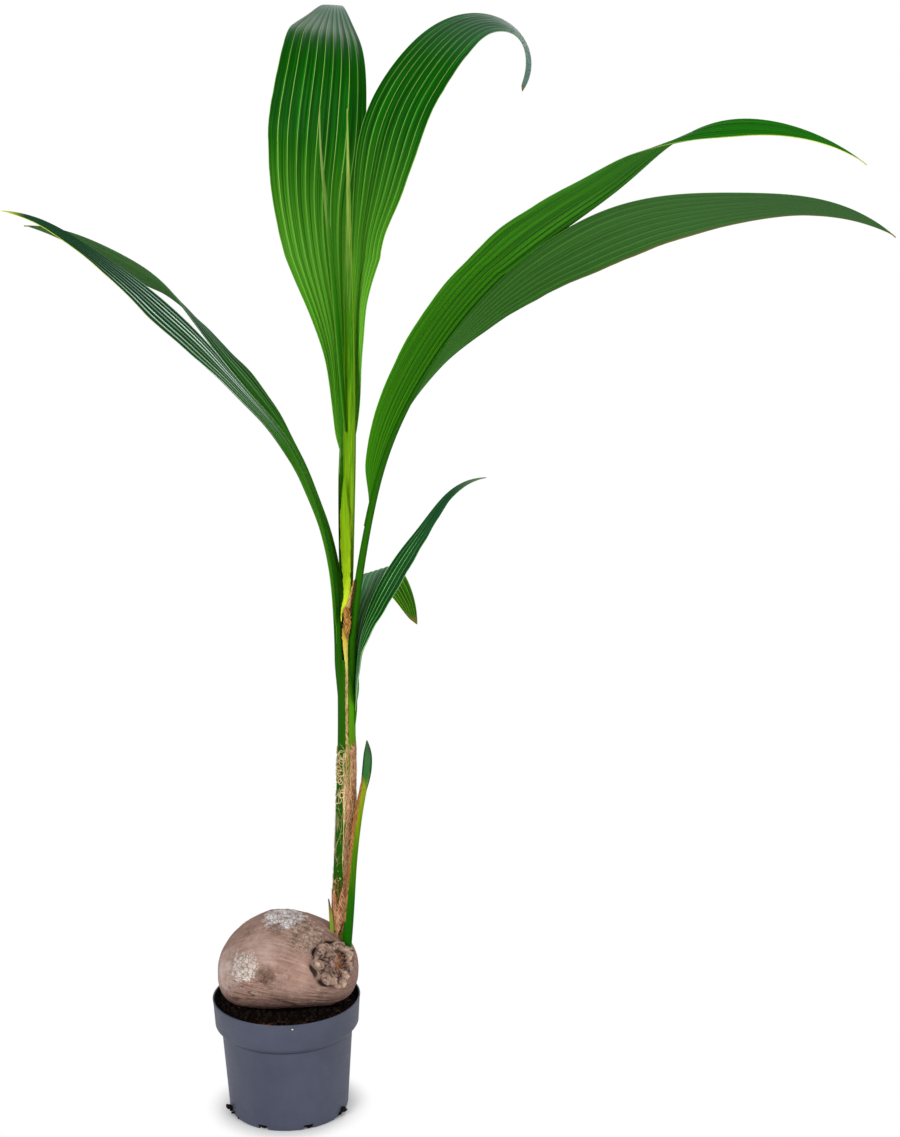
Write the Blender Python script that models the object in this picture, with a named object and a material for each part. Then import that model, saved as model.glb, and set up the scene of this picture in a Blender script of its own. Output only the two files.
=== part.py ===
"""A young coconut palm sprouting from its husk in a round nursery pot.

Metres, +Z up. The origin is the centre of the pot's flat underside. +X runs along the nut
towards the end that sprouts, and the front of the plant faces -Y.
"""

import math

import bmesh
import bpy
from mathutils import Matrix, Vector

# ---------------------------------------------------------------- driving dimensions (metres)
CLEARANCE = 0.0003  # what two pieces that touch leave between them

POT_RIM_RADIUS = 0.095
POT_HEIGHT = 0.155
POT_WALL = 0.0016
POT_FLOOR = 0.0030
POT_COLLAR_BASE = 0.120  # height at which the upright collar under the rim begins
POT_COLLAR_RADIUS = 0.0924
POT_STEP = 0.008  # height of the slope from the body out to the collar
POT_BODY_RADIUS = 0.0842
POT_SHOULDER_RADIUS = 0.0772  # just above the rounded lower corner
POT_FOOT_RADIUS = 0.0734
DRAIN_HOLES = 8
DRAIN_WIDTH = 0.013
DRAIN_HEIGHT = 0.007
DRAIN_REACH = 0.0085  # how far a drain hole runs in from the lower corner

SOIL_LEVEL = 0.1440
SOIL_CROWN = 0.004  # how much higher the soil stands in the middle

NUT_CENTRE = Vector((0.0044, 0.0, 0.2035))
NUT_HALF = Vector((0.0900, 0.0635, 0.0615))  # half its length, breadth and height
NUT_TILT = -4.0  # degrees, sprouting end down
NUT_SQUARENESS = (2.65, 2.5)  # how blunt its far and its sprouting end are: 2 is a plain egg
NUT_SWELL = 0.11  # how much thicker it is at the far end
NUT_SAG = 0.013  # how far its ends lie below its middle
NUT_SLOPE = 0.42  # how far the top of its far end is cut down
NUT_RIDGE = 0.03  # how far its three long ridges stand out, as a share of the radius
SCAR_CENTRE = Vector((0.0640, -0.0465, 0.2170))  # the torn stalk end
SCAR_RADIUS = 0.0290
SCAR_LIP = 0.0060  # radius of its rolled lip
SCAR_RISE = 0.0010  # how far the middle of the lip lies off the nut

STEM_FOOT = Vector((0.0718, 0.0, 0.2255))
STEM_TOP = Vector((0.0856, 0.0030, 0.6066))
STEM_BOW = 0.0028  # how far its middle bows away from the straight line
STEM_RADII = (0.0120, 0.0128, 0.0119, 0.0105, 0.0108)  # foot to top, evenly spaced
STEM_DEPTHS = (0.0120, 0.0126, 0.0120, 0.0122, 0.0150)  # its half depths, at the same heights
FIBRE_SPAN = (0.045, 0.66)  # share of the stem that the woven fibre wraps
FIBRE_THICKNESS = 0.0009
FIBRE_ARC = (-150.0, 35.0)  # degrees round the stem, 0 at +X

BLADE_THICKNESS = 0.0018
PLEATS = 4
PLEAT_DEPTH = 0.0022  # ridge to valley
BLADE_CAMBER = 0.02  # bow across the blade, as a share of its width
SMALLEST_WIDTH = 0.0014

# A leaf is one stalk that carries on as the midrib to the fork of its two lobes. "rise" and
# "heading" are evenly spaced directions along it in degrees: rise above the horizontal, and
# heading round +Z from +X. A lobe borders the midrib and then goes on free to its tip, by its
# own rise and heading. "lift" is how far its flat side is raised towards the leaf's upper face.
LEFT_LEAF = dict(
    root=(0.0782, -0.0060, 0.6072), stalk=0.020, rib=0.385, radii=(0.0048, 0.0044, 0.0014),
    rise=(89.5, 85.5, 76, 67, 50, 51.5), heading=(170, 173, 174, 169))
LEFT_FRONT = dict(
    side=1, free=0.326, rise=(42.5, 35, 31, 3.5), heading=(173, 175, 175, 175),
    lift=(-11, 5, 3, 2, -17, -10, -19), width=0.058, widest=0.52, base=0.12, ramp=1, point=0.8)
LEFT_BACK = dict(
    side=-1, free=0.322, rise=(51.5, 28.5, 17.5, -2), heading=(160, 160, 160, 160),
    lift=(54, 8, -6, 1, -24, -56, -63), width=0.056, widest=0.57, base=0.08, ramp=1.2,
    point=0.9)

CENTRE_LEAF = dict(
    root=(0.0843, 0.0138, 0.6072), stalk=0.225, rib=0.264, radii=(0.0052, 0.0060, 0.0015),
    rise=(88, 86, 82.5, 77.5, 80.5, 82), heading=(90, 75, 75))
CENTRE_LEFT = dict(
    side=1, free=0.495, rise=(61, 71, 27, 18, -62), heading=(73, 98, 104, 95),
    lift=(50, 72, 53, 34, 21, 8, -3), width=0.124, widest=0.58, base=0.06, ramp=1.4, point=1.6)
CENTRE_RIGHT = dict(
    side=-1, free=0.521, rise=(83, 55, 31, -25.5, -126), heading=(48, 36, 27, 15, -2),
    lift=(22, 54, 49, 2, -15, -15, -13), width=0.109, widest=0.47, base=0.07, ramp=1.3,
    point=0.4)

RIGHT_LEAF = dict(
    root=(0.0932, -0.0062, 0.6072), stalk=0.200, rib=0.329, radii=(0.0045, 0.0036, 0.0014),
    rise=(87, 80.5, 75.5, 63.5, 54, 43), heading=(-18, -15, -12, -18))
RIGHT_NEAR = dict(
    side=-1, free=0.499, rise=(33, 36, -6, -36.5), heading=(-27, -33, -25, -24),
    lift=(73, 41, 27, 21, 7, -30, -14), width=0.080, widest=0.45, base=0.05, ramp=1,
    point=1.1)
RIGHT_FAR = dict(
    side=1, free=0.490, rise=(25.5, 4, -6, -40), heading=(-27, -12, -8, -11),
    lift=(19, 1, -23, -41, -52, -44, -58), width=0.084, widest=0.47, base=0.04,
    ramp=1, point=1.0)

SMALL_LEAF = dict(
    root=(0.0967, -0.0038, 0.5204), stalk=0.018, rib=0.084, radii=(0.0022, 0.0022, 0.0012),
    rise=(88.5, 85.5, 81.5, 76.5), heading=(29, 25, 19))
SMALL_FRONT = dict(
    side=-1, free=0.275, rise=(65, 48.5, 48, -1), heading=(28, 16, 7),
    lift=(24, 10, -2, -5, -11), width=0.046, widest=0.39, base=0.20, ramp=1, point=0.8)
SMALL_BACK = dict(
    side=1, free=0.276, rise=(41.5, -5.5, -52, -91.5), heading=(80, 69, 38),
    lift=(-48, -12, -39, -13, -15), width=0.061, widest=0.45, base=0.06, ramp=1, point=0.5)

# Unopened and reduced leaves: a start, a length, directions, and evenly spaced half breadths
# across and half depths through.
SPEAR_LEAF = dict(
    root=(0.0868, 0.0035, 0.6072), length=0.667, rise=(87.5, 88, 88, 88.5, 88.5, 89),
    heading=(30, 60, 80), half_width=(0.0040, 0.0056, 0.0074, 0.0066, 0.0044, 0.0007),
    half_depth=(0.0034, 0.0036, 0.0030, 0.0028, 0.0020, 0.0007))
SPEAR_SIDE_LEAF = dict(
    root=(0.0896, 0.0076, 0.8895), length=0.387, rise=(94.5, 94, 94, 95, 94.5, 88),
    heading=(40, 25, 10), half_depth=(0.0018, 0.0042, 0.0046, 0.0038, 0.0022, 0.0006),
    half_width=(0.0014, 0.0020, 0.0022, 0.0018, 0.0014, 0.0006))
SIDE_SHOOT = dict(
    root=(0.0810, -0.0190, 0.2290), length=0.2100, rise=(84.5, 85, 84.5, 81.5, 77),
    heading=(8, 14, 20), half_depth=(0.0062, 0.0060, 0.0048, 0.0042, 0.0034),
    half_width=(0.0046, 0.0044, 0.0038, 0.0030, 0.0026))
SIDE_SHOOT_BLADE = dict(
    length=0.064, rise=(76, 85, 95), heading=(20, 10, 0),
    half_depth=(0.0034, 0.0054, 0.0060, 0.0048, 0.0008),
    half_width=(0.0022, 0.0018, 0.0014, 0.0012, 0.0007))
SCALE_LEAF = dict(
    root=(0.0612, -0.0105, 0.2360), length=0.054, rise=(90, 94, 98), heading=(0, 0),
    half_depth=(0.0032, 0.0030, 0.0008), half_width=(0.0016, 0.0014, 0.0007))

FINISHES = {  # colour, roughness
    "pot_plastic": ((0.090, 0.105, 0.135), 0.45),
    "potting_soil": ((0.018, 0.011, 0.007), 0.95),
    "husk_skin": ((0.36, 0.24, 0.17), 0.85),
    "torn_husk": ((0.22, 0.13, 0.08), 0.95),
    "stem_sheath": ((0.045, 0.190, 0.018), 0.45),
    "woven_fibre": ((0.40, 0.22, 0.11), 0.90),
    "leaf_stalk": ((0.180, 0.420, 0.020), 0.40),
    "leaf_blade": ((0.012, 0.110, 0.010), 0.38),
    "young_leaf": ((0.060, 0.240, 0.015), 0.42),
}


# ---------------------------------------------------------------- growth rules
def keyed(values, share):
    """The value at share (0 to 1) of a smooth curve through evenly spaced values."""
    place = min(max(share, 0.0), 1.0) * (len(values) - 1)
    index = min(int(place), len(values) - 2)
    f = place - index
    b, c = values[index], values[index + 1]
    a = values[index - 1] if index else 2 * b - c
    d = values[index + 2] if index + 2 < len(values) else 2 * c - b
    return 0.5 * (2 * b + (c - a) * f + (2 * a - 5 * b + 4 * c - d) * f * f
                  + (3 * b - a - 3 * c + d) * f ** 3)


def directions(rise, heading):
    """Along, level (to the left of travel) and up, for a rise and a heading in degrees."""
    r, h = math.radians(rise), math.radians(heading)
    along = Vector((math.cos(r) * math.cos(h), math.cos(r) * math.sin(h), math.sin(r)))
    level = Vector((-math.sin(h), math.cos(h), 0.0))
    return along, level, along.cross(level)


def grow(root, length, rise, heading, steps):
    """Points, rises and headings along a path that starts at root and follows its directions."""
    points, rises, headings = [Vector(root)], [], []
    for i in range(steps + 1):
        rises.append(keyed(rise, i / steps))
        headings.append(keyed(heading, i / steps))
        if i:
            before = directions(rises[i - 1], headings[i - 1])[0]
            here = directions(rises[i], headings[i])[0]
            points.append(points[-1] + (before + here) * (0.5 * length / steps))
    return points, rises, headings


def between(values, share):
    """Straight interpolation in a list, at share (0 to 1) of its length."""
    place = min(max(share, 0.0), 1.0) * (len(values) - 1)
    index = min(int(place), len(values) - 2)
    return values[index] + (values[index + 1] - values[index]) * (place - index)


def rib_radius(leaf, distance):
    """The stalk's and midrib's radius at a distance from the root."""
    root, blade, fork = leaf["radii"]
    if distance < leaf["stalk"]:
        return root + (blade - root) * distance / leaf["stalk"]
    return blade + (fork - blade) * min((distance - leaf["stalk"]) / leaf["rib"], 1.0)


def swell(share, lobe):
    """A lobe's width as a share of its greatest, from the blade's foot (0) to its tip (1)."""
    widest, base = lobe["widest"], lobe["base"]
    if share < widest:
        return base + (1 - base) * math.sin(math.pi / 2 * share / widest) ** lobe["ramp"]
    beyond = (share - widest) / (1 - widest)
    return max(math.cos(math.pi / 2 * beyond), 0.0) ** lobe["point"]


class Edge:
    """A lobe's inner edge: the midrib from the blade's foot to the fork, then free to the tip."""

    STEPS = 96

    def __init__(self, leaf, lobe):
        whole = leaf["stalk"] + leaf["rib"]
        self.rib = grow(leaf["root"], whole, leaf["rise"], leaf["heading"], self.STEPS)
        fork, rises, headings = (track[-1] for track in self.rib)
        self.free = grow(fork, lobe["free"], (rises,) + lobe["rise"],
                         (headings,) + lobe["heading"], self.STEPS)
        self.leaf, self.lobe, self.whole = leaf, lobe, whole
        self.length = leaf["rib"] + lobe["free"]

    def at(self, share):
        """The edge's point, rise, heading and distance from its rib's axis at a share."""
        distance = share * self.length + self.leaf["stalk"]
        if distance <= self.whole:
            tracks, part = self.rib, distance / self.whole
        else:
            tracks, part = self.free, (distance - self.whole) / self.lobe["free"]
        point, rise, heading = (between(track, part) for track in tracks)
        return point, rise, heading, rib_radius(self.leaf, distance) + CLEARANCE


# ---------------------------------------------------------------- building helpers
def finish(name):
    colour, roughness = FINISHES[name]
    material = bpy.data.materials.get(name) or bpy.data.materials.new(name)
    material.use_nodes = True
    shader = material.node_tree.nodes["Principled BSDF"]
    shader.inputs["Base Color"].default_value = (*colour, 1.0)
    shader.inputs["Roughness"].default_value = roughness
    material.diffuse_color = (*colour, 1.0)
    return material


def keep(bm, name, material, smooth=True):
    """Turns a bmesh into a named object with its faces pointing out."""
    bmesh.ops.recalc_face_normals(bm, faces=bm.faces)
    mesh = bpy.data.meshes.new(name)
    bm.to_mesh(mesh)
    bm.free()
    node = bpy.data.objects.new(name, mesh)
    bpy.context.scene.collection.objects.link(node)
    mesh.materials.append(finish(material))
    if smooth:
        mesh.shade_smooth()
        mesh.set_sharp_from_angle(angle=math.radians(40))
    return node


def cut(node, cutter, operation="DIFFERENCE"):
    modifier = node.modifiers.new("cut by " + cutter.name, "BOOLEAN")
    modifier.operation = operation
    modifier.solver = "EXACT"
    modifier.object = cutter
    cutter.hide_render = True
    cutter.display_type = "WIRE"


def turned(name, profile, material, segments):
    """A closed body turned round +Z from a profile of (radius, height) that starts and ends on it."""
    bm = bmesh.new()
    rings = [bm.verts.new((radius, 0.0, height)) for radius, height in profile]
    edges = [bm.edges.new(pair) for pair in zip(rings, rings[1:])]
    bmesh.ops.spin(bm, geom=rings + edges, cent=(0, 0, 0), axis=(0, 0, 1),
                   angle=math.tau, steps=segments, use_merge=True)
    bmesh.ops.remove_doubles(bm, verts=bm.verts, dist=1e-6)
    return keep(bm, name, material)


def tube(name, frames, material, sides=10):
    """A limb through rings: each frame is (point, level, up, half width, half depth)."""
    bm = bmesh.new()
    rings = []
    for point, level, up, half_width, half_depth in frames:
        columns = (level * half_width, up * half_depth, level.cross(up), point)
        rows = [[column[axis] for column in columns] for axis in range(3)]
        ring = bmesh.ops.create_circle(bm, radius=1.0, segments=sides,
                                       matrix=Matrix(rows + [[0.0, 0.0, 0.0, 1.0]]))["verts"]
        rings.append(list({edge for vert in ring for edge in vert.link_edges}))
    for ring, following in zip(rings, rings[1:]):
        bmesh.ops.bridge_loops(bm, edges=ring + following)
    for ring in (rings[0], rings[-1]):
        bmesh.ops.contextual_create(bm, geom=ring)
    return keep(bm, name, material)


def limb(name, spec, material, steps, sides=10):
    """A tapering tube along the path of a spec that gives half widths and half depths."""
    tracks = grow(spec["root"], spec["length"], spec["rise"], spec["heading"], steps)
    frames = []
    for i, (point, rise, heading) in enumerate(zip(*tracks)):
        _, level, up = directions(rise, heading)
        frames.append((point, level, up, keyed(spec["half_width"], i / steps),
                       keyed(spec["half_depth"], i / steps)))
    return tube(name, frames, material, sides)


def stalk(name, leaf, material, steps=16):
    """A leaf's stalk and midrib in one tapering limb."""
    whole = leaf["stalk"] + leaf["rib"]
    tracks = grow(leaf["root"], whole, leaf["rise"], leaf["heading"], steps)
    frames = []
    for i, (point, rise, heading) in enumerate(zip(*tracks)):
        _, level, up = directions(rise, heading)
        radius = rib_radius(leaf, whole * i / steps)
        frames.append((point, level, up, radius, radius))
    return tube(name, frames, material, sides=8)


def blade(name, leaf, lobe, span, rows, material="leaf_blade"):
    """The pleated sheet of a lobe over a span of its length, in one closed body."""
    edge = Edge(leaf, lobe)
    columns = 2 * PLEATS
    bm = bmesh.new()
    bmesh.ops.create_grid(bm, x_segments=columns, y_segments=rows, size=0.5)
    through = bm.verts.layers.float_vector.new("through")
    for vert in bm.verts:
        column = round((vert.co.x + 0.5) * columns)
        share = span[0] + (span[1] - span[0]) * (vert.co.y + 0.5)
        point, rise, heading, offset = edge.at(share)
        along, level, up = directions(rise, heading)
        lift = math.radians(keyed(lobe["lift"], share))
        across = level * (lobe["side"] * math.cos(lift)) + up * math.sin(lift)
        face = along.cross(across) * lobe["side"]
        width = max(lobe["width"] * swell(share, lobe) - offset, SMALLEST_WIDTH)
        depth = PLEAT_DEPTH * min(width / lobe["width"], 1.0) ** 1.5
        u = column / columns
        height = BLADE_CAMBER * width * 4 * u * (1 - u) + depth * (column % 2 - 0.5)
        vert.co = point + across * (offset + u * width) + face * (height - BLADE_THICKNESS / 2)
        vert[through] = face * BLADE_THICKNESS
    drawn = bmesh.ops.extrude_face_region(bm, geom=bm.faces[:], use_keep_orig=True)
    for vert in drawn["geom"]:
        if isinstance(vert, bmesh.types.BMVert):
            vert.co += vert[through]
    bm.verts.layers.float_vector.remove(through)
    return keep(bm, name, material)


def lobe_pair(name, leaf, lobe, split, rows):
    """A lobe in two nodes, parted where it bends over."""
    gap = CLEARANCE / (leaf["rib"] + lobe["free"])
    lower = max(2, round(rows * split))
    blade(name + "_blade", leaf, lobe, (0.0, split), lower)
    blade(name + "_tip", leaf, lobe, (split + gap, 1.0), max(rows - lower, 4))


# ---------------------------------------------------------------- clearing the scene
for existing in list(bpy.data.objects):
    bpy.data.objects.remove(existing, do_unlink=True)


# ---------------------------------------------------------------- pot and soil
def pot_outside():
    """The pot's outer profile from the centre of its underside up to the rim."""
    corner = [(POT_FOOT_RADIUS + (POT_SHOULDER_RADIUS - POT_FOOT_RADIUS) * math.sin(a),
               0.010 * (1 - math.cos(a))) for a in (0.0, math.pi / 6, math.pi / 3, math.pi / 2)]
    step = POT_COLLAR_BASE - POT_STEP
    return [(0.0, 0.0)] + corner + [
        (POT_BODY_RADIUS, step), (POT_COLLAR_RADIUS - 0.0008, POT_COLLAR_BASE - 0.002),
        (POT_COLLAR_RADIUS, POT_COLLAR_BASE), (POT_RIM_RADIUS - 0.0004, POT_HEIGHT - 0.003),
        (POT_RIM_RADIUS, POT_HEIGHT - 0.0015), (POT_RIM_RADIUS - 0.0006, POT_HEIGHT)]


def pot_inside(clear=0.0):
    """The pot's inner profile from its lip down to the floor, drawn in by a clearance."""
    wall = POT_WALL + clear
    floor = POT_FLOOR + clear
    step = POT_COLLAR_BASE - POT_STEP
    return [(POT_RIM_RADIUS - 0.0006 - wall, POT_HEIGHT - 0.0006),
            (POT_COLLAR_RADIUS - wall, POT_COLLAR_BASE + wall * 0.4),
            (POT_BODY_RADIUS - wall, step + wall * 0.4),
            (POT_SHOULDER_RADIUS - wall, 0.012), (POT_SHOULDER_RADIUS - wall - 0.003, floor),
            (0.0, floor)]


def make_pot():
    pot = turned("pot", pot_outside() + pot_inside(), "pot_plastic", segments=48)
    bm = bmesh.new()
    for hole in range(DRAIN_HOLES):
        place = Matrix.Rotation(math.tau * (hole + 0.5) / DRAIN_HOLES, 4, "Z")
        place @= Matrix.Translation((POT_SHOULDER_RADIUS, 0.0, DRAIN_HEIGHT / 2 - 0.002))
        size = Matrix.Diagonal((2 * DRAIN_REACH, DRAIN_WIDTH, DRAIN_HEIGHT + 0.004, 1.0))
        bmesh.ops.create_cube(bm, size=1.0, matrix=place @ size)
    cutter = keep(bm, "drain_hole_cutter", "pot_plastic", smooth=False)
    cut(pot, cutter)


def make_soil():
    inside = [point for point in reversed(pot_inside(clear=CLEARANCE))][:-1]
    low, high = inside[-1], pot_inside(clear=CLEARANCE)[0]
    share = (SOIL_LEVEL - low[1]) / (high[1] - low[1])
    edge_radius = low[0] + (high[0] - low[0]) * share
    crown = [(edge_radius * r, SOIL_LEVEL + SOIL_CROWN * (1 - r * r)) for r in (0.85, 0.6, 0.3, 0.0)]
    soil = turned("soil", inside + [(edge_radius, SOIL_LEVEL)] + crown, "potting_soil", segments=36)
    cut(soil, nut_clearance)


# ---------------------------------------------------------------- nut
def nut_body(name, clear=0.0):
    """The husk: a blunt, three-ridged egg on its side, low and thick at the far end."""
    bm = bmesh.new()
    bmesh.ops.create_uvsphere(bm, u_segments=30, v_segments=18, radius=1.0,
                              matrix=Matrix.Rotation(math.pi / 2, 4, "Y"))
    for vert in bm.verts:
        x, y, z = vert.co
        flat = math.hypot(y, z)
        around = math.atan2(y, z)
        power = NUT_SQUARENESS[x > 0]
        radius = max(1 - abs(x) ** power, 0.0) ** (1 / power) * (1 - NUT_SWELL * x)
        radius *= 1 + NUT_RIDGE * math.cos(3 * around)
        high = NUT_SLOPE * x * x if x < 0 and z > 0 else 0.0
        if flat < 1e-6:
            radius = 0.0
        vert.co = (x * NUT_HALF.x, radius * math.sin(around) * NUT_HALF.y,
                   radius * math.cos(around) * NUT_HALF.z * (1 - high) - NUT_SAG * x * x)
    bmesh.ops.rotate(bm, verts=bm.verts, cent=(0, 0, 0),
                     matrix=Matrix.Rotation(math.radians(-NUT_TILT), 3, "Y"))
    bm.normal_update()
    for vert in bm.verts:
        vert.co += NUT_CENTRE + vert.normal * clear
    return keep(bm, name, "husk_skin")


def make_scar():
    """The torn ring of husk at the stalk end, lying on the nut."""
    _, point, normal, _ = nut.closest_point_on_mesh(SCAR_CENTRE)
    turn = normal.to_track_quat("Z", "Y").to_matrix().to_4x4()
    place = Matrix.Translation(point + normal * SCAR_RISE) @ turn
    bm = bmesh.new()
    steps, sides = 20, 8
    section = bmesh.ops.create_circle(bm, radius=SCAR_LIP, segments=sides,
                                      matrix=Matrix.Translation((SCAR_RADIUS - SCAR_LIP, 0, 0))
                                      @ Matrix.Rotation(math.pi / 2, 4, "X"))["verts"]
    edges = list({edge for vert in section for edge in vert.link_edges})
    bmesh.ops.spin(bm, geom=section + edges, cent=(0, 0, 0), axis=(0, 0, 1), angle=math.tau,
                   steps=steps, use_merge=True)
    bmesh.ops.remove_doubles(bm, verts=bm.verts, dist=1e-6)
    for vert in bm.verts:
        around = math.atan2(vert.co.y, vert.co.x)
        uneven = 1 + 0.10 * math.sin(3 * around + 0.6) + 0.05 * math.sin(7 * around)
        vert.co = place @ Vector((vert.co.x * uneven, vert.co.y * uneven, vert.co.z * uneven))
    cut(keep(bm, "husk_scar", "torn_husk"), nut_clearance)


# ---------------------------------------------------------------- stem
def stem_frame(share):
    """The stem's centre, half breadth and half depth at a share of its height."""
    bow = STEM_BOW * math.sin(math.pi * share)
    point = STEM_FOOT.lerp(STEM_TOP, share) + Vector((bow, 0.0, 0.0))
    return point, keyed(STEM_RADII, share), keyed(STEM_DEPTHS, share)


def make_stem():
    frames = []
    for i in range(13):
        point, breadth, depth = stem_frame(i / 12)
        frames.append((point, Vector((1, 0, 0)), Vector((0, 1, 0)), breadth, depth))
    cut(tube("stem", frames, "stem_sheath", sides=16), nut_clearance)


def make_fibre():
    """A woven wrap over part of the stem's front: a curved sheet a hair off its surface."""
    rows, columns = 9, 10
    bm = bmesh.new()
    bmesh.ops.create_grid(bm, x_segments=columns, y_segments=rows, size=0.5)
    through = bm.verts.layers.float_vector.new("through")
    for vert in bm.verts:
        share = FIBRE_SPAN[0] + (FIBRE_SPAN[1] - FIBRE_SPAN[0]) * (vert.co.y + 0.5)
        narrowing = 1 - 0.35 * (vert.co.y + 0.5)
        centre, breadth, depth = stem_frame(share)
        middle = 0.5 * (FIBRE_ARC[0] + FIBRE_ARC[1])
        around = math.radians(middle + (FIBRE_ARC[1] - FIBRE_ARC[0]) * narrowing * vert.co.x)
        out = Vector((math.cos(around), math.sin(around), 0.0))
        surface = Vector((out.x * breadth, out.y * depth, 0.0))
        vert.co = centre + surface + out * CLEARANCE
        vert[through] = out * FIBRE_THICKNESS
    drawn = bmesh.ops.extrude_face_region(bm, geom=bm.faces[:], use_keep_orig=True)
    for vert in drawn["geom"]:
        if isinstance(vert, bmesh.types.BMVert):
            vert.co += vert[through]
    bm.verts.layers.float_vector.remove(through)
    cut(keep(bm, "fibre_sheath", "woven_fibre"), nut_clearance)


nut = nut_body("nut")
nut_clearance = nut_body("nut_clearance", clear=CLEARANCE)
bpy.context.view_layer.update()
make_pot()
make_soil()
make_scar()
make_stem()
make_fibre()

# ---------------------------------------------------------------- leaves
stalk("left_leaf_stalk", LEFT_LEAF, "leaf_stalk")
lobe_pair("left_leaf_front", LEFT_LEAF, LEFT_FRONT, split=0.60, rows=20)
lobe_pair("left_leaf_back", LEFT_LEAF, LEFT_BACK, split=0.60, rows=20)

stalk("centre_leaf_stalk", CENTRE_LEAF, "leaf_stalk")
lobe_pair("centre_leaf_left", CENTRE_LEAF, CENTRE_LEFT, split=0.62, rows=24)
lobe_pair("centre_leaf_right", CENTRE_LEAF, CENTRE_RIGHT, split=0.60, rows=24)

stalk("right_leaf_stalk", RIGHT_LEAF, "leaf_stalk")
lobe_pair("right_leaf_near", RIGHT_LEAF, RIGHT_NEAR, split=0.55, rows=24)
lobe_pair("right_leaf_far", RIGHT_LEAF, RIGHT_FAR, split=0.55, rows=24)

stalk("small_leaf_stalk", SMALL_LEAF, "leaf_stalk", steps=8)
blade("small_leaf_front_blade", SMALL_LEAF, SMALL_FRONT, (0.0, 1.0), rows=14)
lobe_pair("small_leaf_back", SMALL_LEAF, SMALL_BACK, split=0.52, rows=16)

# ---------------------------------------------------------------- spear, side shoot, scale leaf
limb("spear_leaf", SPEAR_LEAF, "young_leaf", steps=16, sides=8)
limb("spear_side_leaf", SPEAR_SIDE_LEAF, "young_leaf", steps=12, sides=8)
cut(limb("side_shoot", SIDE_SHOOT, "young_leaf", steps=10, sides=10), nut_clearance)
shoot_end, shoot_rises, shoot_headings = (
    track[-1] for track in grow(SIDE_SHOOT["root"], SIDE_SHOOT["length"], SIDE_SHOOT["rise"],
                                SIDE_SHOOT["heading"], 10))
SIDE_SHOOT_BLADE["root"] = shoot_end + directions(shoot_rises, shoot_headings)[0] * CLEARANCE
limb("side_shoot_blade", SIDE_SHOOT_BLADE, "leaf_blade", steps=8, sides=8)
cut(limb("scale_leaf", SCALE_LEAF, "young_leaf", steps=5, sides=8), nut_clearance)
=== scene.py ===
import math
import random

import bmesh
import bpy
from mathutils import Matrix, Vector, noise
from mathutils.bvhtree import BVHTree


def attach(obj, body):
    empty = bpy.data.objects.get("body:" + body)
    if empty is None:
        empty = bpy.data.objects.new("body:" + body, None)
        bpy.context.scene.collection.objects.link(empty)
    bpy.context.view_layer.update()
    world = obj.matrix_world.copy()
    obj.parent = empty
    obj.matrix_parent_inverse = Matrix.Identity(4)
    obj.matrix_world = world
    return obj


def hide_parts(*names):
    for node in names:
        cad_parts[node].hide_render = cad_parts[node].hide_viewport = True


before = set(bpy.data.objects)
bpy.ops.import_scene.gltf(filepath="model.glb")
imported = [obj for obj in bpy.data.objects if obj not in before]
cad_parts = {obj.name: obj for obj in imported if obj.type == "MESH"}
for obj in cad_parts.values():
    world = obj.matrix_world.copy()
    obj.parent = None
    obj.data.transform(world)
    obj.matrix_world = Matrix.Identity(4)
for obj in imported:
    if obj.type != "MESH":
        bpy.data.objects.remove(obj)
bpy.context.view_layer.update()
print("frame loaded:", len(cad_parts), "nodes")

# everything below is in metres, +Z up, with the origin under the middle of the pot
millimetre = 0.001


view = {
    "place": (0.215, -2.7, 1.383),
    "tiltDown": 13.82,          # degrees
    "roll": -0.43,
    "focalPixels": 2259,        # focal length in pixels of a 900 x 1137 picture
    "pictureHeight": 1137,
}


def makeCamera():
    data = bpy.data.cameras.new("studioCamera")
    data.sensor_width = 36.0
    data.lens = view["focalPixels"] / view["pictureHeight"] * data.sensor_width
    data.clip_end = 50.0
    camera = placeObject("studioCamera", data)
    turn = Matrix.Rotation(math.radians(90 - view["tiltDown"]), 4, "X")
    camera.matrix_world = (Matrix.Translation(view["place"]) @ turn
                           @ Matrix.Rotation(math.radians(view["roll"]), 4, "Z"))
    bpy.context.scene.camera = camera


studio = {
    "skyStrength": 0.34,
    "lamps": [
        # name, place, watts, size in metres
        ("keyLamp", (-1.9, -2.7, 2.3), 86.0, 1.6),
        ("fillLamp", (2.3, -2.3, 1.5), 44.0, 1.8),
        ("backLamp", (0.9, 2.6, 1.9), 34.0, 1.8),
    ],
    "whiteFrom": (0.070, 0.112),  # the board runs into plain white between these distances
    "aim": (0.12, 0.0, 0.75),
    "floorSize": 14.0,
}


def makeStudio():
    scene = bpy.context.scene
    scene.view_settings.view_transform = "Standard"
    world = bpy.data.worlds.new("paleSurround")
    world.use_nodes = True
    scene.world = world
    tree = world.node_tree
    back = tree.nodes["Background"]
    # the surround is seen as white and gives a softer, dimmer light
    seen = addNode(tree, "ShaderNodeLightPath").outputs["Is Camera Ray"]
    strength = ranged(tree, seen, 0.0, 1.0, studio["skyStrength"], 1.0, "LINEAR")
    back.inputs["Color"].default_value = hexColour("ffffff")
    tree.links.new(strength, back.inputs["Strength"])
    for name, place, watts, size in studio["lamps"]:
        data = bpy.data.lights.new(name, "AREA")
        data.energy = watts
        data.size = size
        lamp = placeObject(name, data)
        lamp.location = place
        lamp.rotation_euler = (Vector(studio["aim"]) - Vector(place)).to_track_quat("-Z", "Y").to_euler()
    bm = bmesh.new()
    bmesh.ops.create_grid(bm, x_segments=1, y_segments=1, size=studio["floorSize"] / 2)
    floor = makeObject(bm, "studioFloor", [floorPaint()])


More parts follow.
